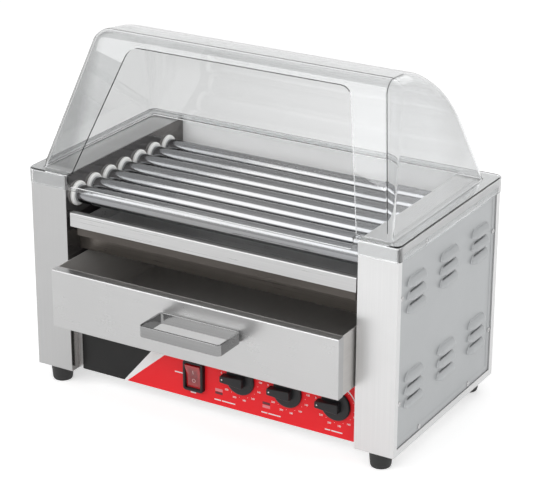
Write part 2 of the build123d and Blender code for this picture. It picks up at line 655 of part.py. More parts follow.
def drawer_handle():
    """Flat bar bent into a closed, round-cornered loop that stands out from the drawer."""
    ring = RectangleRounded(HANDLE_W, HANDLE_D, HANDLE_R)
    ring -= RectangleRounded(HANDLE_W - 2 * HANDLE_BAR, HANDLE_D - 2 * HANDLE_BAR, HANDLE_R - HANDLE_BAR)
    loop = Pos(HANDLE_X, DRAWER_FACE_Y - HANDLE_D / 2, HANDLE_MID_Z) * extrude(ring, HANDLE_H / 2, both=True)
    for x in handle_screw_x():
        loop -= rod_y(HANDLE_SCREW_R, DRAWER_FACE_Y - HANDLE_SCREW_IN, DRAWER_FACE_Y + CUT, x, HANDLE_MID_Z)
    return loop


def handle_screws():
    """Screws from inside the drawer front into the handle."""
    head_y = DRAWER_FACE_Y + SHEET
    tip_y = DRAWER_FACE_Y - HANDLE_SCREW_IN
    outline = [(tip_y, 0), (tip_y, HANDLE_SCREW_R), (head_y, HANDLE_SCREW_R), (head_y, SCREW_HEAD_R),
               (head_y + SCREW_HEAD_H, SCREW_HEAD_R), (head_y + SCREW_HEAD_H, 0)]
    return [turned_y(outline, x, HANDLE_MID_Z) for x in handle_screw_x()]


def drawer_runner():
    """Right runner: an angle on the bay floor, its upright against the roller wall."""
    top_z = DRAWER_Z - GAP
    runner = span_box(WALL_X - RUNNER_W, WALL_X, PANEL_BACK_Y, REAR_IN_Y - SHEET, BAY_Z, top_z)
    return runner + span_box(
        WALL_X - RUNNER_T, WALL_X, PANEL_BACK_Y, REAR_IN_Y - SHEET, BAY_Z, BAY_Z + RUNNER_H)


# ---------------------------------------------------------------- warmer element
def warmer_element():
    """Hairpin tubular heater under the warmer plate, its ends out through the right wall."""
    end_x = WALL_BACK_X + ELEMENT_END_PAST
    bend_x = ELEMENT_END_GAP + ELEMENT_R + ELEMENT_LEG / 2 - WALL_X
    far_y = ELEMENT_Y + ELEMENT_LEG
    near = (end_x, ELEMENT_Y, ELEMENT_Z)
    far = (end_x, far_y, ELEMENT_Z)
    tip = (bend_x - ELEMENT_LEG / 2, ELEMENT_Y + ELEMENT_LEG / 2, ELEMENT_Z)
    bend = ThreePointArc((bend_x, ELEMENT_Y, ELEMENT_Z), tip, (bend_x, far_y, ELEMENT_Z))
    path = Line(near, bend @ 0) + bend + Line(bend @ 1, far)
    return sweep(Plane(origin=near, z_dir=(-1, 0, 0)) * Circle(ELEMENT_R), path=path)


def element_clips():
    """Strap clips that hang the element from the warmer plate."""
    top_z = WARMER_Z - SHEET
    half = CLIP_W / 2
    strap = rod_x(ELEMENT_R + CLIP_T, -half, half, 0, ELEMENT_Z)
    strap += span_box(-half, half, -CLIP_T / 2, CLIP_T / 2, ELEMENT_Z, top_z)
    strap += span_box(-half, half, -half, half, top_z - CLIP_T, top_z)
    strap -= rod_x(ELEMENT_R, -CLIP_W, CLIP_W, 0, ELEMENT_Z)
    reach = WALL_X - CLIP_INSET
    return [Pos(x, y, 0) * strap for x in (-reach, reach) for y in (ELEMENT_Y, ELEMENT_Y + ELEMENT_LEG)]


# ---------------------------------------------------------------- controls
def facing(x, z, shape):
    """Set a shape drawn in XY, rising in Z, on the control panel's face."""
    return Pos(x, PANEL_FACE_Y, z) * Rot(90, 0, 0) * shape


def switch_body_size():
    """Width and height of the switch behind its bezel."""
    return (ROCKER_W + 2 * (GAP + SWITCH_WALL),
            ROCKER_H + 2 * (WELL_END_GAP + SWITCH_END_WALL))


def control_panel():
    """Front of the control box, cut out for the thermostats and the switch."""
    panel = span_box(-WALL_X, WALL_X, PANEL_FACE_Y, PANEL_BACK_Y, FOOT_H, BAY_Z)
    for x in KNOB_X:
        panel -= facing(x, KNOB_Z, Cylinder(BUSHING_R, 2 * (WALL_T + CUT)))
    width, height = switch_body_size()
    return panel - facing(SWITCH_X, SWITCH_Z, Box(width, height, 2 * (WALL_T + CUT)))


def thermostats():
    """Capillary thermostats behind the panel, each with a bushing through it."""
    body = Pos(0, 0, -WALL_T - THERMOSTAT_D / 2) * Box(THERMOSTAT_W, THERMOSTAT_W, THERMOSTAT_D)
    body += Pos(0, 0, -WALL_T) * Cylinder(BUSHING_R, WALL_T + BUSHING_PAST, align=UPRIGHT)
    body -= Pos(0, 0, -THERMOSTAT_D / 2) * Cylinder(SHAFT_R + SHAFT_FIT, THERMOSTAT_D, align=UPRIGHT)
    return [facing(x, KNOB_Z, body) for x in KNOB_X]


def knob_shaft(x):
    """Thermostat shaft that turns with its knob."""
    start = SHAFT_END_GAP - THERMOSTAT_D / 2
    end = KNOB_OFF + KNOB_SKIRT_T + SHAFT_IN
    bar = Pos(0, 0, start) * Cylinder(SHAFT_R, end - start, align=UPRIGHT)
    return facing(x, KNOB_Z, bar)


def knob(x):
    """Pointer knob: round skirt with a domed face and a drafted grip that narrows to its pointer."""
    edge_z = KNOB_OFF + KNOB_SKIRT_T
    skirt = make_face(Polyline(
        (0, KNOB_OFF), (SKIRT_R, KNOB_OFF), (SKIRT_R, edge_z - SKIRT_BEVEL), (SKIRT_R - SKIRT_BEVEL, edge_z),
        (0, edge_z + KNOB_DOME), close=True))
    body = revolve(Plane.XZ * skirt, Axis.Z)
    grip = make_face(Polyline(
        (-POINTER_L, GRIP_TIP_W / 2), (-POINTER_L, -GRIP_TIP_W / 2), (GRIP_TAIL, -GRIP_W / 2),
        (GRIP_TAIL, GRIP_W / 2), close=True))
    grip = fillet(grip.vertices(), GRIP_ROUND)
    body += Pos(0, 0, edge_z - SKIRT_BEVEL) * extrude(grip, SKIRT_BEVEL + GRIP_H, taper=GRIP_DRAFT)
    body -= Cylinder(BUSHING_R + GAP, BUSHING_PAST + GAP, align=UPRIGHT)
    body -= Cylinder(SHAFT_R, edge_z + SHAFT_IN + SHAFT_END_GAP, align=UPRIGHT)
    return facing(x, KNOB_Z, body)


def switch_housing():
    """Rocker switch: bezel, body through the panel and a well for the rocker."""
    width, height = switch_body_size()
    housing = Pos(0, 0, BEZEL_T / 2) * Box(BEZEL_W, BEZEL_H, BEZEL_T)
    housing = chamfer(housing.edges().group_by(Axis.Z)[-1], BEZEL_BEVEL)
    housing += Pos(0, 0, -SWITCH_D / 2) * Box(width, height, SWITCH_D)
    well = Box(ROCKER_W + 2 * GAP, ROCKER_H + 2 * WELL_END_GAP, WELL_D + BEZEL_T, align=UPRIGHT)
    housing -= Pos(0, 0, -WELL_D) * well
    housing -= Rot(0, 90, 0) * Cylinder(ROCKER_PIN_R + PIN_FIT, ROCKER_W + 2 * (PIN_PAST + GAP))
    return facing(SWITCH_X, SWITCH_Z, housing)


def switch_rocker():
    """Rocker with a shallow V face on two side pins, leaning to its off side at rest."""
    half = ROCKER_H / 2
    side = make_face(Polyline(
        (-half, -ROCKER_EDGE), (-half, ROCKER_RISE), (0, ROCKER_WAIST), (half, ROCKER_RISE),
        (half, -ROCKER_EDGE), (0, -ROCKER_KEEL), close=True))
    rocker = Plane.YZ.location * extrude(side, ROCKER_W / 2, both=True)
    rocker += Rot(0, 90, 0) * Cylinder(ROCKER_PIN_R, ROCKER_W + 2 * PIN_PAST)
    return facing(SWITCH_X, SWITCH_Z, Rot(ROCKER_TILT, 0, 0) * rocker)


def cable_gland():
    """Gland through the rear panel: outer dome, thread and inner nut, bored for a cable."""
    outline = [(REAR_IN_Y - GLAND_NUT_T, GLAND_BORE_R), (REAR_IN_Y - GLAND_NUT_T, GLAND_NUT_R),
               (REAR_IN_Y, GLAND_NUT_R), (REAR_IN_Y, GLAND_THREAD_R),
               (REAR_FACE_Y, GLAND_THREAD_R), (REAR_FACE_Y, GLAND_NUT_R),
               (REAR_FACE_Y + GLAND_NUT_T, GLAND_NUT_R), (REAR_FACE_Y + 2 * GLAND_NUT_T, GLAND_THREAD_R),
               (REAR_FACE_Y + 2 * GLAND_NUT_T, GLAND_BORE_R)]
    return turned_y(outline, GLAND_X, GLAND_Z)


def terminal_block():
    """Mains terminal block on the base pan: a barrier strip with wire pockets."""
    z0 = FOOT_H + SHEET
    y0 = REAR_IN_Y - TERMINAL_GAP - TERMINAL_D
    block = Pos(GLAND_X, y0, z0) * Box(
        TERMINAL_W, TERMINAL_D, TERMINAL_H, align=(Align.CENTER, Align.MIN, Align.MIN))
    for k in range(TERMINALS):
        x = GLAND_X + (k - (TERMINALS - 1) / 2) * TERMINAL_W / TERMINALS
        block -= span_box(
            x - POCKET_W / 2, x + POCKET_W / 2,
            y0 - CUT, y0 + TERMINAL_D / 3,
            z0 + TERMINAL_H / 3, z0 + TERMINAL_H + CUT)
    return block


# ---------------------------------------------------------------- clear cover
def hood_block(inset):
    """Solid hood: a side profile run across, trimmed by drafted ends, all edges rounded."""
    base_z = TOP_Z + GAP
    peak_z = TOP_Z + COVER_H
    front_y = FRONT_Y + HOOD_FRONT
    rear_y = REAR_Y - HOOD_REAR
    brow_y = front_y + FRONT_LEAN * (peak_z - base_z)
    crown_z = (peak_z - TOP_FALL * (rear_y + REAR_LEAN * base_z - brow_y)) / (1 - TOP_FALL * REAR_LEAN)
    crown_y = rear_y - REAR_LEAN * (crown_z - base_z)
    brow_turn = pi / 2 - atan(FRONT_LEAN) + atan(TOP_FALL)
    crown_turn = pi / 2 - atan(REAR_LEAN) - atan(TOP_FALL)
    flat = hypot(crown_y - brow_y, peak_z - crown_z) - BROW_R * tan(brow_turn / 2)
    crown_r = min(CROWN_R, flat / tan(crown_turn / 2) - CUT)
    half_w = OUT_X - COVER_INSET
    foot = COVER_H
    profile = make_face(Polyline(
        (front_y - FRONT_LEAN * foot, base_z - foot), (brow_y, peak_z),
        (crown_y, crown_z), (rear_y + REAR_LEAN * foot, base_z - foot), close=True))
    by_height = profile.vertices().sort_by(Axis.Y)
    profile = fillet(by_height[-1], BROW_R)
    profile = fillet(profile.vertices().sort_by_distance(Vector(crown_y, crown_z, 0))[0], crown_r)
    profile = offset(profile, -inset, kind=Kind.INTERSECTION) if inset else profile
    run = extrude(Plane.YZ * profile, half_w + foot, both=True)
    lean = inset * sqrt(1 + COVER_DRAFT ** 2)
    low = half_w + COVER_DRAFT * foot - lean
    high = half_w - COVER_DRAFT * 2 * foot - lean
    ends = make_face(Polyline(
        (-low, base_z - foot), (low, base_z - foot), (high, base_z + 2 * foot),
        (-high, base_z + 2 * foot), close=True))
    hood = run & extrude(Plane.XZ * ends, 2 * DEPTH, both=True)
    faces = hood.faces().sort_by(Axis.X)
    rims = faces[0].edges() + faces[-1].edges()
    rims = rims.filter_by(lambda edge: edge.center().Z > base_z - foot + CUT)
    return fillet(rims, CORNER_R - inset)


def cover_mouth():
    """Cutter for the hand opening in the slanted front, wide at the foot and round-cornered."""
    foot_z = TOP_Z - MOUTH_DROP
    top_z = TOP_Z + COVER_H - MOUTH_TOP_DROP
    foot_x = WALL_X - MOUTH_EDGE
    top_x = foot_x - MOUTH_TAPER * (top_z - TOP_Z)
    outline = make_face(Polyline(
        (-foot_x, foot_z), (foot_x, foot_z), (foot_x, TOP_Z), (top_x, top_z), (-top_x, top_z),
        (-foot_x, TOP_Z), close=True))
    top_corners = outline.vertices().group_by(Axis.Y)[-1]
    outline = fillet(top_corners, MOUTH_R)
    foot_corners = outline.vertices().group_by(Axis.Y)[0]
    outline = fillet(foot_corners, MOUTH_R / 2)
    behind = FRONT_LEAN * (top_z - TOP_Z) + HOOD_FRONT + 2 * COVER_T
    return Pos(0, FRONT_Y + behind, 0) * extrude(Plane.XZ * outline, behind + 2 * SKIRT_DROP)


def clear_cover():
    """One-piece thermoformed hood with a flange on the cabinet and a skirt round it."""
    base_z = TOP_Z + GAP
    above = Pos(0, 0, base_z + COVER_H) * Box(2 * WIDTH, 2 * DEPTH, 2 * COVER_H)
    reach_x = OUT_X + SKIRT_GAP + COVER_T
    reach_y = REAR_Y + SKIRT_GAP + COVER_T
    skirt_h = SKIRT_DROP + GAP + COVER_T
    skirt = extrude(RectangleRounded(2 * reach_x, 2 * reach_y, SKIRT_CORNER_R), skirt_h)
    well = extrude(
        RectangleRounded(2 * (reach_x - COVER_T), 2 * (reach_y - COVER_T), SKIRT_CORNER_R - COVER_T),
        skirt_h - COVER_T)
    shell = Pos(0, 0, TOP_Z - SKIRT_DROP) * (skirt - well)
    shell += hood_block(0) & above
    inner = hood_block(COVER_T)
    shell -= inner & Pos(0, 0, -COVER_T) * above
    return shell - cover_mouth()


# ---------------------------------------------------------------- parts
def export(name, shape):
    """Write one node in the outline's frame; loose solids of one node are kept as a group."""
    if isinstance(shape, list):
        shape = Compound(children=[Pos(0, -MIDDLE_Y, 0) * piece for piece in shape])
    else:
        shape = Pos(0, -MIDDLE_Y, 0) * shape
    export_step(shape, f"parts/{name}.step")


def both_sides(pieces):
    """Right-hand solids and their mirror images on the left."""
    return [*pieces, *[mirror(piece, Plane.YZ) for piece in pieces]]


def main():
    os.makedirs("parts", exist_ok=True)
    export("tower_shell_right", tower_shell())
    export("tower_shell_left", mirror(tower_shell(), Plane.YZ))
    wall = roller_wall()
    export("roller_wall_left", mirror(wall, Plane.YZ))
    export("roller_wall_right", wall - element_holes())
    panel = side_panel()
    export("side_panel_right", panel)
    export("side_panel_left", mirror(panel, Plane.YZ))
    export("side_panel_screws", both_sides(panel_screws()))
    export("base_pan", base_pan())
    export("rear_panel", rear_panel())
    export("rear_panel_screws", rear_screws())
    export("bay_floor", bay_floor())
    export("warmer_plate", warmer_plate())
    export("feet", feet())
    for k, y in enumerate(ROLLER_Y, start=1):
        export(f"roller_{k}", roller(y))
        export(f"sprocket_{k}", sprocket(NECK_R, y, ROLLER_Z))
    rings = seals()
    export("roller_seals_right", rings)
    export("roller_seals_left", [mirror(ring, Plane.YZ) for ring in rings])
    export("heater_rods", heater_rods())
    export("heater_brackets", both_sides([heater_bracket()]))
    export("drive_chain", drive_chain())
    export("gear_motor", gear_motor())
    export("motor_bracket", motor_bracket())
    export("motor_sprocket", motor_sprocket())
    export("idler_sprocket", sprocket(IDLER_STUD_R + IDLER_FIT, LOWER_Y[0], LOWER_Z))
    export("idler_stud", idler_stud())
    export("drip_tray", drip_tray())
    export("drawer_tray", drawer_tray())
    export("drawer_front", drawer_front())
    export("drawer_handle", drawer_handle())
    export("drawer_handle_screws", handle_screws())
    export("drawer_runners", both_sides([drawer_runner()]))
    export("warmer_element", warmer_element())
    export("warmer_element_clips", element_clips())
    export("control_panel", control_panel())
    export("thermostats", thermostats())
    for k, x in enumerate(KNOB_X, start=1):
        export(f"knob_{k}", knob(x))
        export(f"knob_shaft_{k}", knob_shaft(x))
    export("switch_housing", switch_housing())
    export("switch_rocker", switch_rocker())
    export("cable_gland", cable_gland())
    export("terminal_block", terminal_block())
    export("clear_cover", clear_cover())


main()
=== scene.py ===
import json
import math

import bmesh
import bpy
import numpy as np
from mathutils import Matrix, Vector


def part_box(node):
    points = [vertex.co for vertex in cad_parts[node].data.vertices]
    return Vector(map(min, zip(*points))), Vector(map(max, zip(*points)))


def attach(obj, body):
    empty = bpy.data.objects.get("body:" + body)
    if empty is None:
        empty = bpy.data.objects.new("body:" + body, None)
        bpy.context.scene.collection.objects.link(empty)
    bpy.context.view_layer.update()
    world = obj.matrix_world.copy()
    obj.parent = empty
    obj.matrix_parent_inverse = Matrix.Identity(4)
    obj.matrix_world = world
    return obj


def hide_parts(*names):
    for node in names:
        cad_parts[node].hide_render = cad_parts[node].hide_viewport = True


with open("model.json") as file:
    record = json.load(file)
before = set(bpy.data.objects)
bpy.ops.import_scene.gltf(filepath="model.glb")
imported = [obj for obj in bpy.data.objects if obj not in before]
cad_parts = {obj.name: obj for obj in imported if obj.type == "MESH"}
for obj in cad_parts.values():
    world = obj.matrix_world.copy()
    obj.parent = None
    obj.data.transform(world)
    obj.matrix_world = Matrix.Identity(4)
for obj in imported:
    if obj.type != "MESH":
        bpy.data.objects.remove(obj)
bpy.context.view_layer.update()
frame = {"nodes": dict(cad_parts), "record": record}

NODES = frame["nodes"]
HOME = {node: body for body, nodes in frame["record"]["behaviour"]["bodies"].items() for node in nodes}
MM = 0.001


def corners(node):
    """Lowest and highest corner of a CAD node in millimetres, as two rows of an array."""
    return np.array([list(corner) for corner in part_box(node)]) / MM


# ---- shader maths
class Wire:
    """One output socket of a finish; arithmetic on it adds Math nodes."""

    def __init__(self, finish, socket):
        self.finish = finish
        self.socket = socket

    def maths(self, operation, *others, swap=False):
        values = [self, *others]
        if swap:
            values.reverse()
        return self.finish.add("Math", {"operation": operation}, dict(enumerate(values))).out(0)

    def __add__(self, other):
        return self.maths("ADD", other)

    def __sub__(self, other):
        return self.maths("SUBTRACT", other)

    def __rsub__(self, other):
        return self.maths("SUBTRACT", other, swap=True)

    def __mul__(self, other):
        return self.maths("MULTIPLY", other)

    def __truediv__(self, other):
        return self.maths("DIVIDE", other)

    def __gt__(self, other):
        return self.maths("GREATER_THAN", other)

    def __lt__(self, other):
        return self.maths("LESS_THAN", other)

    def __abs__(self):
        return self.maths("ABSOLUTE")

    __radd__ = __add__

    def most(self, other):
        return self.maths("MAXIMUM", other)

    def within(self, low, high):
        """1 between two values, 0 outside."""
        return (self > low) * (self < high)

    def ramp(self, low, high, to_low=0.0, to_high=1.0):
        """A clamped straight line from one range of values to another."""
        node = self.finish.add("MapRange", {"clamp": True}, {0: self, 1: low, 2: high, 3: to_low, 4: to_high})
        return node.out(0)


class Step:
    """One node of a finish, with its outputs as wires."""

    def __init__(self, finish, node):
        self.finish = finish
        self.node = node

    def out(self, key):
        return Wire(self.finish, self.node.outputs[key])


class Finish:
    """The node tree of a material, or of the room's light."""

    def __init__(self, name, kind="materials"):
        self.material = getattr(bpy.data, kind).new(name)
        self.material.use_nodes = True
        self.tree = self.material.node_tree
        self.tree.nodes.clear()

    def add(self, kind, settings=None, inputs=None):
        """Makes a node from its type, its settings, and the values or wires of its sockets."""
        node = self.tree.nodes.new("ShaderNode" + kind)
        for key, value in (settings or {}).items():
            setattr(node, key, value)
        for key, value in (inputs or {}).items():
            if isinstance(value, Wire):
                self.tree.links.new(value.socket, node.inputs[key])
            else:
                node.inputs[key].default_value = value
        return Step(self, node)

    def place(self):
        """Object coordinates and their x, y and z."""
        point = self.add("TexCoord").out("Object")
        apart = self.add("SeparateXYZ", inputs={0: point})
        return point, apart.out(0), apart.out(1), apart.out(2)

    def stretched(self, point, scale):
        """A point scaled along each axis, so a pattern on it draws out into streaks."""
        return self.add("Mapping", inputs={"Vector": point, "Scale": scale}).out(0)

    def noise(self, point, scale, detail=3.0, roughness=0.55):
        inputs = {"Vector": point, "Scale": scale, "Detail": detail, "Roughness": roughness}
        return self.add("TexNoise", inputs=inputs).out(0)

    def mix(self, factor, low, high):
        """A colour between two colours."""
        return self.add("Mix", {"data_type": "RGBA"}, {0: factor, 6: colour(low), 7: colour(high)}).out(2)

    def bump(self, height, strength, distance):
        inputs = {"Height": height, "Strength": strength, "Distance": distance}
        return self.add("Bump", inputs=inputs).out(0)

    def looked_at(self):
        """1 where the eye sees a thing, also in a gloss or through a clear sheet, 0 for its light."""
        path = self.add("LightPath")
        seen = path.out("Is Camera Ray").most(path.out("Is Glossy Ray"))
        return seen.most(path.out("Is Transmission Ray"))

    def close(self, **sockets):
        """Ends the tree with one Principled shader; a socket's name is given with _ for each space."""
        inputs = {key.replace("_", " "): colour(value) for key, value in sockets.items()}
        shader = self.add("BsdfPrincipled", inputs=inputs).out(0)
        self.add("OutputMaterial", inputs={0: shader})
        return self.material


def colour(value):
    """Three numbers as four, anything else as it is."""
    return (*value, 1.0) if isinstance(value, (tuple, list)) and len(value) == 3 else value


def grey(value):
    return (value, value, value)


def brushed(name, tone, streaks, rough=0.30, contrast=0.10, tint=(1.0, 1.0, 1.0), metal=0.85, left=1.0):
    """Brushed stainless sheet: fine streaks along one axis, soft handling marks, satin gloss.
    Towards the left of the object the tone falls to a share of the right's: painted shade, a darker
    reflection painted on the left."""
    f = Finish(name)
    point, x, _, _ = f.place()
    fine = f.noise(f.stretched(point, streaks), 1.0, 4.0, 0.65)
    broad = f.noise(point, 7.0, 2.0, 0.5)
    smudge = f.noise(point, 26.0, 3.0, 0.6)
    level = (fine - 0.5) * 1.2 + (broad - 0.5) * 0.8 + 0.5
    low = tuple(tone * (1 - contrast) * t for t in tint)
    high = tuple(min(tone * (1 + contrast) * t, 1) for t in tint)
    base = f.mix(level, low, high)
    # Painted shade: the tone darkens towards the left, standing in for a darker reflection there.
    if left < 1:
        dim = f.mix(level, tuple(left * c for c in low), tuple(left * c for c in high))
        base = f.mix(x.ramp(-0.20, 0.20), dim, base)
    gloss = (fine - 0.5) * 0.14 + (smudge - 0.5) * 0.10 + rough
    return f.close(Base_Color=base, Metallic=metal, Roughness=gloss, Normal=f.bump(fine, 0.05, 0.0003))


def tubes(name):
    """Ground and polished tube: fine rings round each roller, faint heat tint towards the middle."""
    f = Finish(name)
    point, x, _, _ = f.place()
    rings = f.noise(f.stretched(point, (900, 3, 3)), 1.0, 2.0, 0.5)
    wear = f.noise(f.stretched(point, (14, 60, 60)), 1.0, 3.0, 0.6)
    warm = abs(x).ramp(0.05, 0.22, 1.0, 0.0) * wear
    # The low base tone is a painted dark reflection: darker than bare polished steel, it stands in for dark
    # surroundings mirrored in the tube.
    base = f.mix(warm * 0.55, (0.28, 0.285, 0.295), (0.25, 0.24, 0.225))
    gloss = (rings - 0.5) * 0.08 + (wear - 0.5) * 0.08 + 0.13
    return f.close(Base_Color=base, Metallic=1.0, Roughness=gloss, Normal=f.bump(rings, 0.05, 0.0003))


def darkened(name, tone, rough, tint=(1.0, 0.97, 0.94)):
    """Plain or heat-darkened steel with an oily bloom."""
    f = Finish(name)
    point, _, _, _ = f.place()
    bloom = f.noise(point, 60.0, 4.0, 0.6)
    grain = f.noise(point, 700.0, 2.0, 0.5)
    low = tuple(tone * 0.7 * t for t in tint)
    high = tuple(tone * 1.3 * t for t in tint)
    gloss = (bloom - 0.5) * 0.3 + rough
    return f.close(Base_Color=f.mix(bloom, low, high), Metallic=1.0, Roughness=gloss,
                   Normal=f.bump(grain, 0.12, 0.0003))


def moulded(name, low, high, rough, grain_scale=1600.0, depth=0.10, shine=0.5):
    """Moulded plastic or rubber: a shade that drifts a little over a fine grain."""
    f = Finish(name)
    point, _, _, _ = f.place()
    drift = f.noise(point, 30.0, 3.0, 0.5)
    grain = f.noise(point, grain_scale, 2.0, 0.5)
    gloss = (grain - 0.5) * 0.12 + (drift - 0.5) * 0.12 + rough
    return f.close(Base_Color=f.mix(drift, low, high), Roughness=gloss, Specular_IOR_Level=shine,
                   Normal=f.bump(grain, depth, 0.0002))


def tray_finish():
    """Drip tray: brushed steel, with a dark, warm-tinted band of painted shade on the wall under its lip."""
    f = Finish("tray_steel")
    point, _, y, _ = f.place()
    front_y = corners("drip_tray")[0][1]
    fine = f.noise(f.stretched(point, (6, 900, 900)), 1.0, 3.0, 0.6)
    smear = f.noise(f.stretched(point, (12, 30, 30)), 1.0, 4.0, 0.6)
    # Painted shade: the wall under the lip gets a dark, warm-tinted band.
    front = y.within((front_y + TRAY_LIP - 0.5) * MM, (front_y + TRAY_LIP + 0.6) * MM)
    steel = f.mix(fine, grey(0.46), grey(0.58))
    painted_shade_band = f.mix(smear, (0.060, 0.052, 0.046), (0.110, 0.098, 0.088))
    gloss = (fine - 0.5) * 0.14 + (smear - 0.5) * 0.06 + 0.30
    return f.close(Base_Color=f.mix(front, steel, painted_shade_band), Metallic=0.7, Roughness=gloss,
                   Normal=f.bump(fine, 0.05, 0.0003))


def clear_sheet():
    """Clear formed acrylic that casts no dark shadow; its rear and left walls are greyer, darker towards the
    left, as painted shade.
    """
    f = Finish("clear_acrylic")
    point, x, y, z = f.place()
    haze = f.noise(point, 40.0, 2.0, 0.5)
    wall_foot = (corners("clear_cover")[0][2] + SKIRT_DROP + 8.0) * MM
    clear = f.mix(haze, (0.855, 0.862, 0.866), (0.868, 0.875, 0.878))
    # Painted shade: the rear and left walls are tinted grey, darker towards the left.
    painted_shade_grey = f.mix(x.ramp(-0.27, 0.22), (0.610, 0.616, 0.616), (0.760, 0.765, 0.767))
    far = y.ramp(0.05, 0.12).most(x.ramp(-0.235, -0.215, 1.0, 0.0)) * (z > wall_foot)
    tint = f.mix(far, clear, painted_shade_grey)
    body = f.add("BsdfPrincipled", inputs={
        "Base Color": tint, "Roughness": 0.0, "IOR": 1.49, "Transmission Weight": 1.0,
        "Specular IOR Level": 0.30}).out(0)
    through = f.add("BsdfTransparent", inputs={0: (0.97, 0.975, 0.975, 1.0)}).out(0)
    lamp = f.add("LightPath").out("Is Shadow Ray")
    f.add("OutputMaterial", inputs={0: f.add("MixShader", inputs={0: lamp, 1: body, 2: through}).out(0)})
    return f.material


def panel_print():
    """Printed control panel: black, a white slash and red, with a bare steel strip at the left."""
    f = Finish("panel_print")
    point, x, y, z = f.place()
    front_y = corners("control_panel")[0][1]
    rise = z - PRINT_FOOT_Z
    slash_left, slash_right = [rise * lean - shift for lean, shift in SLASH_EDGES]
    drift = f.noise(point, 20.0, 2.0, 0.5)
    red = f.mix(drift, (0.90, 0.016, 0.024), (0.95, 0.022, 0.030))
    black = f.mix(drift, grey(0.010), grey(0.016))
    sheet = f.mix(x > slash_left, black, grey(0.95))
    sheet = f.mix(x > slash_right, sheet, red)
    front = y < (front_y + 0.4) * MM
    printed = x.within(PRINT_LEFT, PRINT_RIGHT) * front
    steel = f.mix(drift, grey(0.62), grey(0.70))
    grain = f.noise(point, 2200.0, 2.0, 0.5)
    return f.close(Base_Color=f.mix(printed, steel, sheet), Metallic=1 - printed, Specular_IOR_Level=0.25,
                   Roughness=(grain - 0.5) * 0.08 + 0.34, Normal=f.bump(grain, 0.05, 0.0002))


def lens_red():
    """Red translucent rocker, darker inside than at its rim."""
    f = Finish("rocker_lens_red")
    point, x, _, z = f.place()
    mid_x, _, mid_z = sum(corners("switch_rocker")) / 2 * MM
    edge = (abs(x - mid_x) / (11 * MM)).most(abs(z - mid_z) / (17 * MM)).ramp(0.45, 1.0)
    cloud = f.noise(point, 220.0, 3.0, 0.6)
    base = f.mix(edge * 0.6 + cloud * 0.3, (0.16, 0.0, 0.004), (0.62, 0.012, 0.018))
    return f.close(Base_Color=base, Roughness=0.12 + (cloud - 0.5) * 0.08, Coat_Weight=0.6)


# ---- surfaces
def grid_faces(rows, columns, wrap=False):
    """Quads between the rows and columns of a grid of points, the columns closed into a ring if wrap."""
    i, j = np.meshgrid(np.arange(rows - 1), np.arange(columns if wrap else columns - 1), indexing="ij")
    k = (j + 1) % columns
    row, next_row = i * columns, (i + 1) * columns
    return np.stack([row + j, row + k, next_row + k, next_row + j], axis=-1).reshape(-1, 4)


def surface(points, wrap=False):
    """Points and faces of a grid given as rows x columns x 3."""
    rows, columns = points.shape[:2]
    return points.reshape(-1, 3), grid_faces(rows, columns, wrap)


def joined(shapes):
    """Several sets of points and faces as one."""
    starts = np.cumsum([0] + [len(points) for points, _ in shapes[:-1]])
    faces = np.concatenate([quads + start for (_, quads), start in zip(shapes, starts)])
    return np.concatenate([points for points, _ in shapes]), faces


def moved(shape, offset):
    """The same shape somewhere else."""
    return shape[0] + np.array(offset), shape[1]


def merged(name, shape, closed=True, keep_slivers=False):
    """A mesh from points in millimetres, its doubles merged and, if closed, its faces turned outward."""
    points, quads = shape
    mesh = bpy.data.meshes.new(name)
    mesh.from_pydata((points * MM).tolist(), [], quads.tolist())
    work = bmesh.new()
    work.from_mesh(mesh)
    bmesh.ops.remove_doubles(work, verts=work.verts, dist=2e-6)
    if not keep_slivers:
        bmesh.ops.dissolve_degenerate(work, edges=work.edges, dist=1e-7)
    if closed:
        bmesh.ops.recalc_face_normals(work, faces=work.faces)
    work.to_mesh(mesh)
    work.free()
    return mesh


def piece(name, shape, finish, body, stands_for=(), crease=35.0, closed=True):
    """A new visible piece from points in millimetres."""
    return shown(name, merged(name, shape, closed), finish, body, stands_for, crease)


def shown(name, mesh, finish, body, stands_for=(), crease=35.0):
    """Puts a mesh in the scene with its finish and under its body, and hides the CAD nodes it stands for."""
    mesh.materials.clear()
    mesh.materials.append(finish)
    mesh.shade_smooth()
    mesh.set_sharp_from_angle(angle=math.radians(crease))
    thing = bpy.data.objects.new(name, mesh)
    bpy.context.scene.collection.objects.link(thing)
    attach(thing, body)
    if stands_for:
        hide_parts(*stands_for)
    return thing


def capped(rings):
    """Rings of points as one closed shape, with a fan to the middle of the ring at each end."""
    ends = [np.broadcast_to(rings[k].mean(axis=0), rings[k].shape) for k in (0, -1)]
    return surface(np.stack([ends[0], *rings, ends[1]]), wrap=True)


def turned(outline, steps=64):
    """An outline of (a, r) points turned round the x axis: x = a, y = r cos t, z = r sin t."""
    a, r = np.array(outline, float).T
    t = np.linspace(0, 2 * np.pi, steps, endpoint=False)
    points = np.stack([
        np.broadcast_to(a[:, None], (len(a), steps)),
        r[:, None] * np.cos(t),
        r[:, None] * np.sin(t)], axis=-1)
    return surface(points, wrap=True)


def rounded(corner_points, radius, steps=5):
    """An open outline with each inner corner swapped for a quadratic curve between its tangent points."""
    pts = np.array(corner_points, float)
    radii = np.broadcast_to(radius, len(pts))
    out = [pts[:1]]
    t = np.linspace(0, 1, steps)[:, None]
    for k in range(1, len(pts) - 1):
        back = pts[k - 1] - pts[k]
        on = pts[k + 1] - pts[k]
        cut = min(radii[k], np.linalg.norm(back) * 0.49, np.linalg.norm(on) * 0.49)
        start = pts[k] + back / np.linalg.norm(back) * cut
        end = pts[k] + on / np.linalg.norm(on) * cut
        out.append((1 - t) ** 2 * start + 2 * t * (1 - t) * pts[k] + t ** 2 * end)
    out.append(pts[-1:])
    return np.concatenate(out)


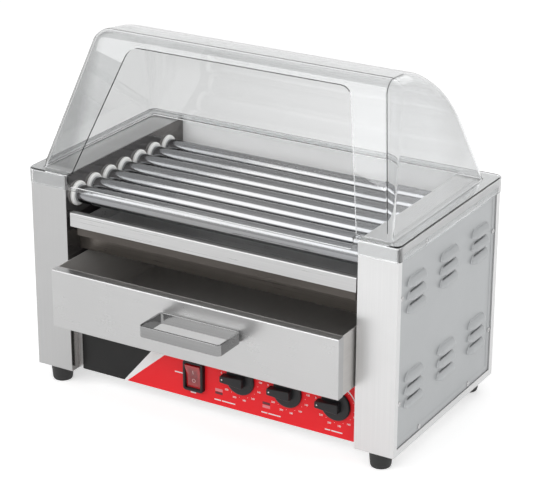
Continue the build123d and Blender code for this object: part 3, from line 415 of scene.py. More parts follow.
def faced_front(shape, x, y, z):
    """A shape turned round x whose +x then points to the front, -y."""
    points, quads = shape
    return np.stack([points[:, 1] + x, y - points[:, 0], points[:, 2] + z], axis=-1), quads


def pillow(skeleton, levels, steps=8):
    """A convex plate: at each level the outline is every point within a margin of the skeleton polygon.
    Level = (height, margin); a corner's arc is corner + margin (cos t, sin t). Ends close to the middle."""
    pts = np.array(skeleton, float)
    edge = np.roll(pts, -1, axis=0) - pts
    heading = np.arctan2(-edge[:, 0], edge[:, 1])
    turn = (heading - np.roll(heading, 1)) % (2 * np.pi)
    s = np.linspace(0, 1, steps)
    angle = (np.roll(heading, 1)[:, None] + turn[:, None] * s).reshape(-1)
    base = np.repeat(pts, steps, axis=0)
    height, margin = np.array(levels, float).T
    ring = base[None] + margin[:, None, None] * np.stack([np.cos(angle), np.sin(angle)], axis=-1)[None]
    points = np.concatenate([ring, np.broadcast_to(height[:, None, None], (*ring.shape[:2], 1))], axis=-1)
    ends = [np.broadcast_to((*pts.mean(axis=0), height[k]), (1, len(base), 3)) for k in (0, -1)]
    return surface(np.concatenate([ends[0], points, ends[1]]), wrap=True)


def round_over(top, margin, radius, steps=5):
    """Levels of a quarter-round edge under a height: z = top - r + r sin t, margin less r - r cos t."""
    t = np.linspace(0, np.pi / 2, steps)
    return [(top - radius + radius * math.sin(a), margin - radius + radius * math.cos(a)) for a in t]


def on_panel(shape, x, y, z):
    """A plate drawn in (x, z) with its height towards the front, -y."""
    points, quads = shape
    return np.stack([points[:, 0] + x, y - points[:, 2], points[:, 1] + z], axis=-1), quads


def refined(node, finish, edge=0.25, crease=30.0, segments=2):
    """A copy of a folded or turned CAD piece with its doubles merged and its edges softened."""
    source = NODES[node]
    mesh = source.data.copy()
    work = bmesh.new()
    work.from_mesh(mesh)
    bmesh.ops.remove_doubles(work, verts=work.verts, dist=1e-6)
    work.to_mesh(mesh)
    work.free()
    thing = shown(node + "_shape", mesh, finish, HOME[node], (node,), crease)
    bevel = thing.modifiers.new("soft_edges", "BEVEL")
    bevel.width = edge * MM
    bevel.segments = segments
    bevel.limit_method = "ANGLE"
    bevel.angle_limit = math.radians(crease)
    bevel.miter_outer = "MITER_ARC"
    even_shading(thing)


def even_shading(thing):
    """Lets the large flat faces set the normals at their edges."""
    even = thing.modifiers.new("even_shading", "WEIGHTED_NORMAL")
    even.keep_sharp = True
    even.weight = 100


def dressed(node, finish):
    """Gives a CAD piece whose shape stays a better finish."""
    for holder in NODES[node].material_slots:
        holder.material = finish


# ---- finishes
PRINT_FOOT_Z = 26.3 * MM
PRINT_LEFT = -223.9 * MM
PRINT_RIGHT = 221.4 * MM
SLASH_EDGES = ((0.846, 150.1 * MM), (1.163, 144.1 * MM))
TRAY_LIP = 9.0
steel_x = brushed("stainless_brushed_across", 0.60, (5, 850, 850))
# left=0.68 paints shade on the towers: towards the left the tone falls to 0.68 of the right's, a painted
# darker reflection.
steel_z = brushed("stainless_brushed_upright", 0.66, (850, 850, 5), rough=0.33, contrast=0.06, left=0.68)
# Roller walls: the low, warm tone is a painted dark, brownish reflection on mirror-like steel.
steel_wall = brushed("stainless_mirror_wall", 0.22, (5, 60, 700), rough=0.12, contrast=0.30,
                     tint=(1.0, 0.96, 0.94))
# Rear panel: the near-white, non-metal tone is painted light that lifts a wall lying in shade.
steel_back = brushed("stainless_matt_back", 0.95, (5, 850, 850), rough=0.50, contrast=0.03, metal=0.0)
steel_tray = brushed("stainless_drawer_tray", 0.62, (850, 5, 850), rough=0.45, contrast=0.08, metal=0.35,
                     tint=(1.0, 0.97, 0.94))
# Warmer plate: its dark, warm-tinted tone is painted shade under the lip and a painted warm reflection.
steel_painted_warm_reflection = brushed("stainless_painted_warm_reflection", 0.16, (5, 700, 700), rough=0.30, contrast=0.25,
                     tint=(1.0, 0.90, 0.80), metal=0.7)
steel_runner = brushed("stainless_brushed_deep", 0.55, (850, 5, 850))
steel_side = brushed("stainless_side", 0.45, (900, 900, 60), rough=0.40, contrast=0.05,
                     tint=(0.975, 1.0, 1.015))
# left=0.92 paints a slight shade towards the drawer front's left, a painted darker reflection.
steel_drawer = brushed("stainless_drawer", 0.52, (5, 850, 850), contrast=0.04, left=0.92)
# Handle: its low tone is a painted dark reflection, darker than bare polished steel.
steel_bar = brushed("polished_handle", 0.27, (8, 600, 600), rough=0.14, contrast=0.15, metal=1.0)
steel_screw = darkened("screw_steel", 0.55, 0.28, (1.0, 1.0, 1.0))
roller_steel = tubes("polished_tube")
drive_steel = darkened("oiled_steel", 0.36, 0.42)
sheath = darkened("heat_darkened_sheath", 0.26, 0.45, (1.0, 0.93, 0.86))
seal_white = moulded("white_seal", (0.92, 0.92, 0.90), (0.96, 0.96, 0.95), 0.38)
knob_black = moulded("knob_black", (0.012, 0.012, 0.013), (0.020, 0.020, 0.022), 0.40, depth=0.14, shine=0.32)
switch_black = moulded("switch_black", (0.007, 0.007, 0.008), (0.012, 0.012, 0.013), 0.30, shine=0.32)
motor_paint = moulded("motor_paint", (0.10, 0.105, 0.11), (0.14, 0.145, 0.15), 0.45)
brass = darkened("turned_brass", 0.62, 0.28, (1.0, 0.80, 0.45))
case_steel = darkened("plated_case", 0.60, 0.35, (1.0, 1.0, 1.0))
terminal_cream = moulded("terminal_cream", (0.62, 0.59, 0.50), (0.70, 0.67, 0.58), 0.50)
rubber = moulded("foot_rubber", (0.012, 0.012, 0.012), (0.024, 0.024, 0.024), 0.62, 900.0, 0.25)
ink_white = moulded("white_ink", (0.86, 0.85, 0.85), (0.92, 0.91, 0.91), 0.45, 2000.0, 0.03)
ink_rocker = moulded("rocker_ink", (0.74, 0.42, 0.42), (0.80, 0.50, 0.50), 0.40, 2000.0, 0.03)
ink_dark = moulded("dark_ink", (0.10, 0.012, 0.016), (0.14, 0.018, 0.022), 0.45, 2000.0, 0.03)
ink_light = moulded("pink_ink", (0.80, 0.22, 0.25), (0.84, 0.28, 0.30), 0.45, 2000.0, 0.03)

# ---- rollers, seals and cabinet sheets
ROLLERS = range(1, 8)
KNOBS = range(1, 4)
BORE_R = 6.1
NECK_R = 7.5
NECK_L = 20.0
TAPER_L = 4.0
SEAL_BORE_R = 7.6
SEAL_HUB_R = 10.2
SEAL_R = 17.8

for k in ROLLERS:
    node = f"roller_{k}"
    low, high = corners(node)
    y, z = (low[1:] + high[1:]) / 2
    reach = high[0]
    r = (high[2] - low[2]) / 2
    body_x = reach - NECK_L
    half = rounded([(reach, BORE_R), (reach, NECK_R - 0.3), (reach - 0.3, NECK_R), (body_x + TAPER_L, NECK_R),
                    (body_x, r), (0, r)], 0.6)
    outline = np.concatenate([half, (half * (-1, 1))[::-1], [(-reach, BORE_R), (reach, BORE_R)]])
    tube = moved(turned(outline, 72), (0, y, z))
    piece(node + "_tube", tube, roller_steel, HOME[node], (node,))

seal_low, seal_high = corners("roller_seals_right")
wall_x = corners("roller_wall_right")[0][0]
for side, node in ((1, "roller_seals_right"), (-1, "roller_seals_left")):
    rings = []
    for k in ROLLERS:
        low, high = corners(f"roller_{k}")
        y, z = (low[1:] + high[1:]) / 2
        face = seal_low[0]
        outline = rounded([
            (seal_high[0], SEAL_BORE_R), (face + 0.1, SEAL_BORE_R), (face, SEAL_BORE_R + 2.0),
            (face, SEAL_R - 2.0), (face + 1.6, SEAL_R), (wall_x, SEAL_R), (wall_x, SEAL_HUB_R),
            (seal_high[0], SEAL_HUB_R), (seal_high[0], SEAL_BORE_R)], 1.0)
        outline = outline * (side, 1)
        rings.append(moved(turned(outline, 48), (0, y, z)))
    piece(node + "_rings", joined(rings), seal_white, "cabinet", (node,))

for node, finish in (
        ("tower_shell_right", steel_z), ("tower_shell_left", steel_z),
        ("roller_wall_right", steel_wall), ("roller_wall_left", steel_wall),
        ("base_pan", steel_x), ("rear_panel", steel_back), ("bay_floor", steel_tray),
        ("warmer_plate", steel_painted_warm_reflection),
        ("drawer_tray", steel_tray), ("drawer_front", steel_drawer), ("drip_tray", tray_finish()),
        ("motor_bracket", drive_steel), ("drawer_runners", steel_runner),
        ("control_panel", panel_print()), ("terminal_block", terminal_cream), ("thermostats", case_steel)):
    refined(node, finish)
refined("gear_motor", motor_paint, edge=0.6)
refined("cable_gland", knob_black, edge=0.4)
refined("switch_rocker", lens_red(), edge=0.7, segments=3)

for finish, nodes in (
        (sheath, ("heater_rods", "warmer_element")), (steel_screw, ("drawer_handle_screws",)),
        (brass, [f"knob_shaft_{k}" for k in KNOBS]),
        (drive_steel, ("heater_brackets", "drive_chain", "idler_stud", "warmer_element_clips",
                       "motor_sprocket", "idler_sprocket", *[f"sprocket_{k}" for k in ROLLERS]))):
    for node in nodes:
        dressed(node, finish)

# ---- side panels
LOUVER_HALF = 25.0
LOUVER_R = 6.5
LOUVER_TALL = 11.5
LOUVER_END = 9.0
BORDER = 9.0
FIELD_STEP = 0.6
LOUVER_COLUMN = 96.5
LOUVER_BANK = 137.0
LOUVER_ROW = 18.7
LOUVER_LOWEST = 51.7
LOUVER_Y = (-LOUVER_COLUMN, 0.0, LOUVER_COLUMN)
LOUVER_Z = [LOUVER_LOWEST + bank * LOUVER_BANK + row * LOUVER_ROW for bank in range(2) for row in range(3)]
SHEET_T = 0.9
SCREW_R = 3.6
SCREW_RISE = 1.6
SCREW_EDGE = 4.6
SCREW_Y = 76.0
SCREW_Z = 75.5


def louver(steps=13, around=34):
    """A pressed louver over a lip line b = 0: its rim is a straight run between two quarter ovals, and every
    section from the rim to the spine is a quarter oval, distance = rim cos t and height = R sin t, with a
    small flare at its foot."""
    straight = LOUVER_HALF - LOUVER_END
    turn = np.linspace(0, np.pi / 2, 11)
    left = np.stack([-straight - LOUVER_END * np.cos(turn), LOUVER_TALL * np.sin(turn)], axis=-1)
    flat = np.stack([np.linspace(-straight, straight, around), np.full(around, LOUVER_TALL)], axis=-1)[1:-1]
    rim = np.concatenate([left, flat, left[::-1] * (-1, 1)])
    spine = np.stack([np.clip(rim[:, 0], -straight, straight), np.zeros(len(rim))], axis=-1)
    t = np.linspace(0, np.pi / 2, steps)
    share = np.concatenate([[1.12, 1.06, 1.02], np.cos(t)[1:]])
    height = np.concatenate([[-0.25, 0.12, 0.7], (LOUVER_R + FIELD_STEP) * np.sin(t)[1:]])
    flat_points = spine[None] + (rim - spine)[None] * share[:, None, None]
    lift = np.broadcast_to(height[:, None, None], (*flat_points.shape[:2], 1))
    points, quads = surface(np.concatenate([lift, flat_points], axis=-1))
    return points, quads[:, ::-1]


def slotted_plate(y_lines, z_lines, slots_y, slots_z):
    """A grid of quads without those that lie in a slot column and a slot row. Its field is pressed in:
    depth = step times how far a point lies past the border, from 0 to 1 mm."""
    z, y = np.meshgrid(z_lines, y_lines, indexing="ij")
    margin = np.minimum.reduce([y - y_lines[0], y_lines[-1] - y, z - z_lines[0], z_lines[-1] - z])
    depth = FIELD_STEP * np.clip(margin - BORDER, 0, 1)
    points, quads = surface(np.stack([-depth, y, z], axis=-1))
    keep = ~np.outer(slots_z, slots_y).reshape(-1)
    return points, quads[keep]


def side_sheet(side, node):
    """A side panel: a flat sheet with slots, and a louver pressed out over each slot."""
    low, high = corners(node)
    mid_y = (low[1] + high[1]) / 2
    face = (high[0] if side > 0 else -low[0]) - LOUVER_R
    reach = LOUVER_HALF - 2.0
    y_slots = [mid_y + y + end for y in LOUVER_Y for end in (-reach, reach)]
    z_slots = [low[2] + z + end for z in LOUVER_Z for end in (0.0, LOUVER_R - 1.5)]
    edge = np.array([0.0, BORDER, BORDER + 1.0])
    y_lines = np.concatenate([low[1] + edge, y_slots, high[1] - edge[::-1]])
    z_lines = np.concatenate([low[2] + edge, z_slots, high[2] - edge[::-1]])
    slots = [[k > 2 and k % 2 == 1 and k < len(lines) - 3 for k in range(len(lines) - 1)]
             for lines in (y_lines, z_lines)]
    plate = slotted_plate(y_lines, z_lines, *slots)
    hoods = [moved(louver(), (-FIELD_STEP, mid_y + y, low[2] + z)) for y in LOUVER_Y for z in LOUVER_Z]
    points, quads = joined([plate, *hoods])
    points = (points + (face, 0, 0)) * (side, 1, 1)
    thing = piece(node + "_sheet", (points, quads if side > 0 else quads[:, ::-1]), steel_side, "cabinet",
                  (node,), crease=40, closed=False)
    wall = thing.modifiers.new("sheet", "SOLIDIFY")
    wall.thickness = SHEET_T * MM
    wall.offset = -1.0
    even_shading(thing)


side_sheet(1, "side_panel_right")
side_sheet(-1, "side_panel_left")


def pan_head(radius, rise, cross=0.62, depth=0.9, rings=12, steps=40):
    """A domed screw head with a cross recess, turned round x: height = rise (1 - 0.55 r^4) less the recess,
    which is deep where the smaller of |y| and |z| is under a tenth of the head's radius."""
    r = np.linspace(0, 1, rings)[:, None]
    t = np.linspace(0, 2 * np.pi, steps, endpoint=False)[None]
    y, z = r * np.cos(t), r * np.sin(t)
    arm = np.clip((0.16 - np.minimum(abs(y), abs(z))) / 0.06, 0, 1) * np.clip((cross - r) / 0.1, 0, 1)
    x = rise * (1 - r ** 4 * 0.55) - depth * arm
    top = np.stack([x, y * radius, z * radius], axis=-1)
    foot = top[-1:] * (0, 1, 1)
    return surface(np.concatenate([top, foot, foot * (1, 0, 0)]), wrap=True)


low, high = corners("side_panel_right")
screw_x = corners("side_panel_screws")[1][0] - SCREW_RISE
_, mid_y, mid_z = (low + high) / 2
_, edge_y, edge_z = (high - low) / 2 - SCREW_EDGE
places = [(y, z) for y in (-SCREW_Y, SCREW_Y) for z in (-edge_z, edge_z)]
places += [(y, z) for y in (-edge_y, edge_y) for z in (-SCREW_Z, SCREW_Z)]
head_points, head_quads = pan_head(SCREW_R, SCREW_RISE)
heads = []
for side in (1, -1):
    for y, z in places:
        head = (head_points * (side, 1, 1), head_quads)
        heads.append(moved(head, (side * screw_x, mid_y + y, mid_z + z)))
piece("side_panel_screws_heads", joined(heads), steel_screw, "cabinet", ("side_panel_screws",))

low, high = corners("rear_panel_screws")
head_points = np.stack([head_points[:, 1], head_points[:, 0], head_points[:, 2]], axis=-1)
heads = []
for x in (-1, 0, 1):
    for z in (low[2] + SCREW_R, high[2] - SCREW_R):
        heads.append(moved((head_points, head_quads), (x * (high[0] - SCREW_R), low[1], z)))
piece("rear_panel_screws_heads", joined(heads), steel_screw, "cabinet", ("rear_panel_screws",))

# ---- clear cover
COVER_T = 3.0
CLEAR_OF_BOX = 3.5
FRONT_FLANGE = 5.0
REAR_FLANGE = 20.5
END_FLANGE = 15.0
BROW_R = 24.0
CROWN_R = 150.0
EDGE_ROUNDS = (8.0, 19.0, 22.0, 34.0, 22.0, 9.0)
# The corner lines below are painted shade: dark beads standing in for the dark edge of the bent acrylic.
SHADE_LINE_ROWS = 33
SHADE_LINE_TURN_RIGHT = 0.12
SHADE_LINE_TURN_LEFT = 0.66
SHADE_LINE_R = 0.55
MOUTH_CLEAR = 6.2
MOUTH_LEAN = 0.299
MOUTH_TOP = 16.0
MOUTH_DROP = 13.5
HOOD_H = 190.0
FRONT_LEAN = 0.427
REAR_LEAN = 0.30
TOP_FALL = 0.1
END_LEAN = 0.2
SKIRT_DROP = 19.0
BEND_R = 2.6


def bent_corner(before, corner, after, radius, steps):
    """Points of the arc that rounds a corner, and the outward normal at each."""
    back = (before - corner) / np.linalg.norm(before - corner)
    on = (after - corner) / np.linalg.norm(after - corner)
    half = math.acos(float(np.clip(back @ on, -1, 1))) / 2
    middle = corner + (back + on) / np.linalg.norm(back + on) * radius / math.sin(half)
    first = np.array([back[1], -back[0]])
    last = np.array([-on[1], on[0]])
    angles = np.linspace(math.atan2(first[1], first[0]), math.atan2(last[1], last[0]), steps)
    normals = np.stack([np.cos(angles), np.sin(angles)], axis=-1)
    return middle + radius * normals, normals


def hood_outline(front_y, rear_y, foot_z, peak_z):
    """Side outline of the hood from its front foot over the top to its rear foot: its points, their outward
    normals and the radius of the edge round at each."""
    brow = np.array([front_y + FRONT_LEAN * (peak_z - foot_z), peak_z])
    crown_z = (peak_z - TOP_FALL * (rear_y + REAR_LEAN * foot_z - brow[0])) / (1 - TOP_FALL * REAR_LEAN)
    crown = np.array([rear_y - REAR_LEAN * (crown_z - foot_z), crown_z])
    start = np.array([front_y, foot_z])
    end = np.array([rear_y, foot_z])
    brow_arc, brow_n = bent_corner(start, brow, crown, BROW_R, 16)
    crown_arc, crown_n = bent_corner(brow, crown, end, CROWN_R, 30)
    t = np.linspace(0, 1, 14)[:-1, None]
    start = start + (brow_arc[0] - start) * 0.055
    end = end + (crown_arc[-1] - end) * 0.08
    front = start + (brow_arc[0] - start) * t
    top = brow_arc[-1] + (crown_arc[0] - brow_arc[-1]) * np.linspace(0, 1, 5)[1:-1, None]
    rear = crown_arc[-1] + (end - crown_arc[-1]) * np.linspace(0, 1, 9)[1:, None]
    points = np.concatenate([front, brow_arc, top, crown_arc, rear])
    normals = np.concatenate([
        np.repeat(brow_n[:1], len(front), 0), brow_n, np.repeat(brow_n[-1:], len(top), 0), crown_n,
        np.repeat(crown_n[-1:], len(rear), 0)])
    path = np.concatenate([[0], np.cumsum(np.linalg.norm(np.diff(points, axis=0), axis=1))])
    marks = path[[0, len(front) - 1, len(front) + 15, len(front) + 30, len(points) - 9, len(points) - 1]]
    return points, normals, np.interp(path, marks, EDGE_ROUNDS)


def hood_places():
    """The hood's foot height, half width at the foot, and side outline, all from the cover's box."""
    low, high = corners("clear_cover")
    cabinet_z = low[2] + SKIRT_DROP
    mid_y = (low[1] + high[1]) / 2
    foot_z = cabinet_z + 0.3 + COVER_T
    front_y = mid_y - (high[1] - mid_y) + CLEAR_OF_BOX + FRONT_FLANGE + FRONT_LEAN * COVER_T
    rear_y = high[1] - CLEAR_OF_BOX - REAR_FLANGE - REAR_LEAN * COVER_T
    half_w = high[0] - CLEAR_OF_BOX - END_FLANGE
    return foot_z, half_w, hood_outline(front_y, rear_y, foot_z, cabinet_z + HOOD_H)


def edge_arcs(foot_z, half_w, points, normals, rounds):
    """Where each edge round's centre lies across, and the angle at which it meets the leaning end wall:
    centre = width + slope r - r sqrt(1 + slope^2)."""
    width = half_w - END_LEAN * (points[:, 1] - foot_z)
    slope = END_LEAN * normals[:, 1]
    return width + slope * rounds - rounds * np.sqrt(1 + slope ** 2), np.arctan(slope)


def set_in(points, normals, across, depth):
    """Each point of a side outline at its places across, moved in along its normal by the depth at each."""
    rise = [points[:, k:k + 1] - normals[:, k:k + 1] * depth for k in (0, 1)]
    return np.stack([across, *rise], axis=-1)


def clear_hood():
    """Outer skin of the cover: the side outline run across, its edges turned down to leaning end walls by
    arcs whose radius grows with height, then a flange and a skirt round the foot."""
    low, high = corners("clear_cover")
    mid_y = (low[1] + high[1]) / 2
    foot_z, half_w, (points, normals, rounds) = hood_places()
    centre, meeting = edge_arcs(foot_z, half_w, points, normals, rounds)
    angle = np.pi / 2 + (meeting - np.pi / 2)[:, None] * np.linspace(0, 1, 11)
    across = centre[:, None] + rounds[:, None] * np.cos(angle)
    depth = rounds[:, None] * (1 - np.sin(angle))
    inner = centre[:, None] * np.linspace(0, 1, 9)[:-1]
    across = np.concatenate([inner, across], axis=1)
    depth = np.concatenate([np.zeros_like(inner), depth], axis=1)
    skin = set_in(points, normals, across, depth)
    lift = foot_z + BEND_R
    rims = []
    for row, lean in ((skin[0], FRONT_LEAN), (skin[-1], -REAR_LEAN)):
        drop = row[:, 2] - lift
        wide = 1 + END_LEAN * drop / (half_w - END_LEAN * drop) * np.linspace(0, 1, len(row))
        rims.append(np.stack([row[:, 0] * wide, row[:, 1] - lean * drop, np.full(len(row), lift)], axis=-1))
    skin = np.concatenate([rims[:1], skin, rims[1:]])
    edge = skin[:, -1]
    share = np.linspace(0, 1, 6)[None, :, None]
    foot_x = half_w - END_LEAN * np.full(len(edge), BEND_R)
    below = np.stack([foot_x, edge[:, 1], np.full(len(edge), lift)], axis=-1)
    wall = edge[:, None] + (below - edge)[:, None] * share
    wall[:, :, 0] = half_w - END_LEAN * (wall[:, :, 2] - foot_z)
    mirror = np.array((-1, 1, 1))
    loop = np.concatenate([
        skin[0, ::-1] * mirror, skin[0, 1:], wall[1:, -1], skin[-1, ::-1][1:], skin[-1, 1:] * mirror,
        (wall[::-1, -1] * mirror)[1:-1]])
    reach = np.array([high[0], (high[1] - low[1]) / 2])
    foot_mid = np.array([0.0, (rims[0][0, 1] + rims[1][0, 1]) / 2])
    foot_half = np.array([half_w, (rims[1][0, 1] - rims[0][0, 1]) / 2])
    outer = (loop[:, :2] - foot_mid) / foot_half * reach
    outer = np.clip(outer, -reach, reach) + (0.0, mid_y)
    way = outer - loop[:, :2]
    way = way / np.linalg.norm(way, axis=1, keepdims=True)
    t = np.linspace(0, np.pi / 2, 6)
    rings = [np.column_stack([loop[:, :2] + way * BEND_R * (1 - math.cos(a)),
                              np.full(len(loop), foot_z + BEND_R * (1 - math.sin(a)))]) for a in t]
    rings += [np.column_stack([outer - way * BEND_R * (1 - math.sin(a)),
                               np.full(len(loop), foot_z - BEND_R * (1 - math.cos(a)))]) for a in t]
    rings.append(np.column_stack([outer, np.full(len(loop), low[2])]))
    shapes = [surface(skin), surface(wall), surface(skin * mirror), surface(wall * mirror),
              surface(np.stack(rings), wrap=True)]
    return joined(shapes)


def corner_painted_shade_lines():
    """Fine dark bead along each front corner of the hood, from the foot over the brow, painted shade for the
    dark line the bent
    acrylic shows there: a ring of points round a path on the corner's arc, each ring in the plane of that
    arc, closed at both ends."""
    foot_z, half_w, outline = hood_places()
    points, normals, rounds = [values[:SHADE_LINE_ROWS] for values in outline]
    centre, meeting = edge_arcs(foot_z, half_w, points, normals, rounds)
    round_t = np.linspace(0, 2 * np.pi, 8, endpoint=False)
    beads = []
    for side, share in ((1, SHADE_LINE_TURN_RIGHT), (-1, SHADE_LINE_TURN_LEFT)):
        angle = (np.pi / 2 + (meeting - np.pi / 2) * share)[:, None]
        out = rounds[:, None] - 0.25 + SHADE_LINE_R * np.cos(round_t)
        along = SHADE_LINE_R * np.sin(round_t)
        across = centre[:, None] + out * np.cos(angle) - along * np.sin(angle)
        depth = rounds[:, None] - out * np.sin(angle) - along * np.cos(angle)
        beads.append(capped(set_in(points, normals, side * across, depth)))
    return joined(beads)


def mouth_cutter():
    """Prism that cuts the hand opening: a wide foot, sides that lean in, rounded corners."""
    low = corners("clear_cover")[0]
    cabinet_z = low[2] + SKIRT_DROP
    foot_x = corners("roller_wall_right")[0][0] - MOUTH_CLEAR
    top_z = cabinet_z + HOOD_H - MOUTH_TOP
    top_x = foot_x - MOUTH_LEAN * (top_z - cabinet_z)
    foot = cabinet_z - MOUTH_DROP
    half = rounded([(0, foot), (foot_x, foot), (foot_x, cabinet_z), (top_x, top_z), (0, top_z)],
                   [0, 7.0, 2.0, 16.0, 0], 9)
    ring = np.concatenate([half, (half * (-1, 1))[::-1][1:-1]])
    back_y = low[1] + CLEAR_OF_BOX + FRONT_FLANGE + FRONT_LEAN * (top_z - cabinet_z) + 6
    return capped([np.column_stack([ring[:, 0], np.full(len(ring), y), ring[:, 1]])
                   for y in (low[1] - 20, back_y)])


def bare_mesh(name, shape):
    """A closed mesh object that isn't part of the model."""
    thing = bpy.data.objects.new(name, merged(name, shape, keep_slivers=True))
    bpy.context.scene.collection.objects.link(thing)
    return thing


hood = bare_mesh("hood_skin", clear_hood())
cutter = bare_mesh("mouth_cutter", mouth_cutter())
wall = hood.modifiers.new("sheet", "SOLIDIFY")
wall.thickness = COVER_T * MM
wall.offset = -1.0
wall.use_even_offset = True
cut = hood.modifiers.new("mouth", "BOOLEAN")
cut.object = cutter
cut.operation = "DIFFERENCE"
cut.solver = "EXACT"
cut.use_self = True
bpy.context.view_layer.update()
ready = hood.evaluated_get(bpy.context.evaluated_depsgraph_get())
cover_mesh = bpy.data.meshes.new_from_object(ready)
cover_mesh.name = "clear_cover_formed"
for thing in (hood, cutter):
    bpy.data.objects.remove(thing)
cover = shown("clear_cover_formed", cover_mesh, clear_sheet(), "cover", ("clear_cover",), 40)
even_shading(cover)
# Dark grey of the corner lines: painted shade.
edge_shade_grey = moulded("edge_shade_grey", grey(0.045), grey(0.075), 0.35, shine=0.2)
piece("cover_corner_shade_lines", corner_painted_shade_lines(), edge_shade_grey, "cover")

# ---- feet
FOOT_TOP_R = 16.5
low, high = corners("feet")
foot_outline = [(high[2], 0), (high[2], FOOT_TOP_R), (3.0, 14.6), (0, 13.4), (0, 9.0), (1.6, 7.6), (1.6, 0)]
points, quads = turned(rounded(foot_outline, [0, 0, 1.5, 1.2, 0.6, 0.6, 0], 5), 48)
points = np.stack([points[:, 1], points[:, 2], points[:, 0]], axis=-1)
foot_x, foot_y = [(low[axis] + FOOT_TOP_R, high[axis] - FOOT_TOP_R) for axis in (0, 1)]
feet = joined([moved((points, quads), (x, y, 0)) for x in foot_x for y in foot_y])
piece("feet_moulded", feet, rubber, "cabinet", ("feet",))

# ---- drawer handle
def frame_outline(width, height, radius, steps=7):
    """Points round a rectangle with rounded corners: each is corner + radius (cos t, sin t)."""
    radius = max(radius, 0.01)
    t = np.linspace(0, np.pi / 2, steps)
    turns = t + np.arange(4)[:, None] * np.pi / 2
    signs = np.array([(1, 1), (-1, 1), (-1, -1), (1, -1)])
    middle = signs * (width / 2 - radius, height / 2 - radius)
    return (middle[:, None] + radius * np.stack([np.cos(turns), np.sin(turns)], axis=-1)).reshape(-1, 2)


def framed(width, height, radius, levels, floor=False):
    """Rings of one rounded rectangle drawn in by a margin at each level (margin, rise), capped where floor is
    set, else joined into a ring."""
    rings = []
    for m, rise in levels:
        outline = frame_outline(width - 2 * m, height - 2 * m, radius - m)
        rings.append(np.column_stack([outline, np.full(len(outline), rise)]))
    return capped(rings) if floor else surface(np.stack([*rings, rings[0]]), wrap=True)


HANDLE_T = 3.5
HANDLE_R = 7.0
low, high = corners("drawer_handle")
size = high - low
bar = rounded([
    (HANDLE_T / 2, -size[2] / 2), (0, -size[2] / 2), (0, size[2] / 2), (HANDLE_T, size[2] / 2),
    (HANDLE_T, -size[2] / 2), (HANDLE_T / 2, -size[2] / 2)], 0.9, 5)[:-1]
handle = moved(framed(size[0], size[1], HANDLE_R, bar), (low + high) / 2)
piece("drawer_handle_bar", handle, steel_bar, "drawer", ("drawer_handle",))

# ---- knobs and panel print
panel_y = corners("control_panel")[0][1]
KNOB_R = 22.5
KNOB_SKELETON = [(-24.1, -3.1), (7.6, -5.3), (7.6, 5.3), (-24.1, 3.1)]


def knob_axis(number):
    """x and z of a knob's axis, from its box: its skirt is its right edge."""
    low, high = corners(f"knob_{number}")
    return high[0] - KNOB_R, (low[2] + high[2]) / 2


for k in KNOBS:
    node = f"knob_{k}"
    x, z = knob_axis(k)
    skirt = turned(rounded([(1.0, 0), (1.0, KNOB_R - 0.6), (1.6, KNOB_R), (3.2, KNOB_R), (4.6, 21.2),
                            (5.2, 19.5), (6.0, 0)], 0.7), 72)
    grip = pillow(KNOB_SKELETON, [(4.5, 2.4), *round_over(15.0, 1.9, 1.1)], 7)
    dot = turned(rounded([(14.8, 0), (14.8, 1.15), (15.12, 1.05), (15.15, 0)], 0.1), 24)
    shape = joined([faced_front(skirt, x, panel_y, z), on_panel(grip, x, panel_y, z)])
    piece(f"{node}_moulding", shape, knob_black, HOME[node], (node,))
    piece(f"{node}_dot", faced_front(dot, x - 22.0, panel_y, z), ink_white, HOME[node])

# ---- rocker switch
BEZEL_RISE = 7.0
WELL_W = 24.6
HOUSING_BODY_W = 28.4
ROCKER_TILT = math.radians(9.0)
ROCKER_HALF = 18.0
ROCKER_RISE = 3.6
ROCKER_V = 1.9
low, high = corners("switch_housing")
switch_x, _, switch_z = (low + high) / 2
wide, _, tall = high - low
body_m = (wide - HOUSING_BODY_W) / 2
depth = high[1] - panel_y
well_m = (wide - WELL_W) / 2
levels = [(body_m, -depth), (body_m, 0.0), (0.0, 0.0), (0.0, BEZEL_RISE - 1.6), (0.45, BEZEL_RISE - 0.5),
          (1.5, BEZEL_RISE), (well_m - 0.9, BEZEL_RISE), (well_m - 0.2, BEZEL_RISE - 0.3),
          (well_m, BEZEL_RISE - 1.0), (well_m, -7.5)]
bezel = on_panel(framed(wide, tall, 4.6, levels, floor=True), switch_x, panel_y, switch_z)
piece("switch_housing_moulding", bezel, switch_black, "cabinet", ("switch_housing",))


def on_rocker(shape):
    """A flat mark laid on the rocker's V face and leaned with it: its height is the face's middle height plus
    the V's depth times |t| over the half length, turned with its place t by the rocker's lean."""
    points, quads = shape
    t = points[:, 1]
    rise = points[:, 2] + ROCKER_RISE + ROCKER_V * abs(t) / ROCKER_HALF
    up = t * math.cos(ROCKER_TILT) - rise * math.sin(ROCKER_TILT)
    out = t * math.sin(ROCKER_TILT) + rise * math.cos(ROCKER_TILT)
    return np.stack([points[:, 0] + switch_x, panel_y - out, up + switch_z], axis=-1), quads


ring_bar = [(0.0, -0.2), (0.0, 0.12), (0.85, 0.12), (0.85, -0.2)]
off_ring = framed(5.8, 5.8, 2.9, ring_bar)
on_bar = framed(1.1, 6.0, 0.2, [(0.0, -0.2), (0.0, 0.12)], floor=True)
piece("rocker_marks", on_rocker(joined([moved(off_ring, (0, -6.8, 0)), moved(on_bar, (0, 6.8, 0))])),
      ink_rocker, "rocker")

# ---- print on the control panel
INK = 0.06
DIAL_NUMBER_R = 31.5
DIAL_DOT_R = 27.6
DIAL_ARC_R = 30.2
DIAL_START = 176
DIAL_STEP = 28.5
CAPTION_Z = 32.3


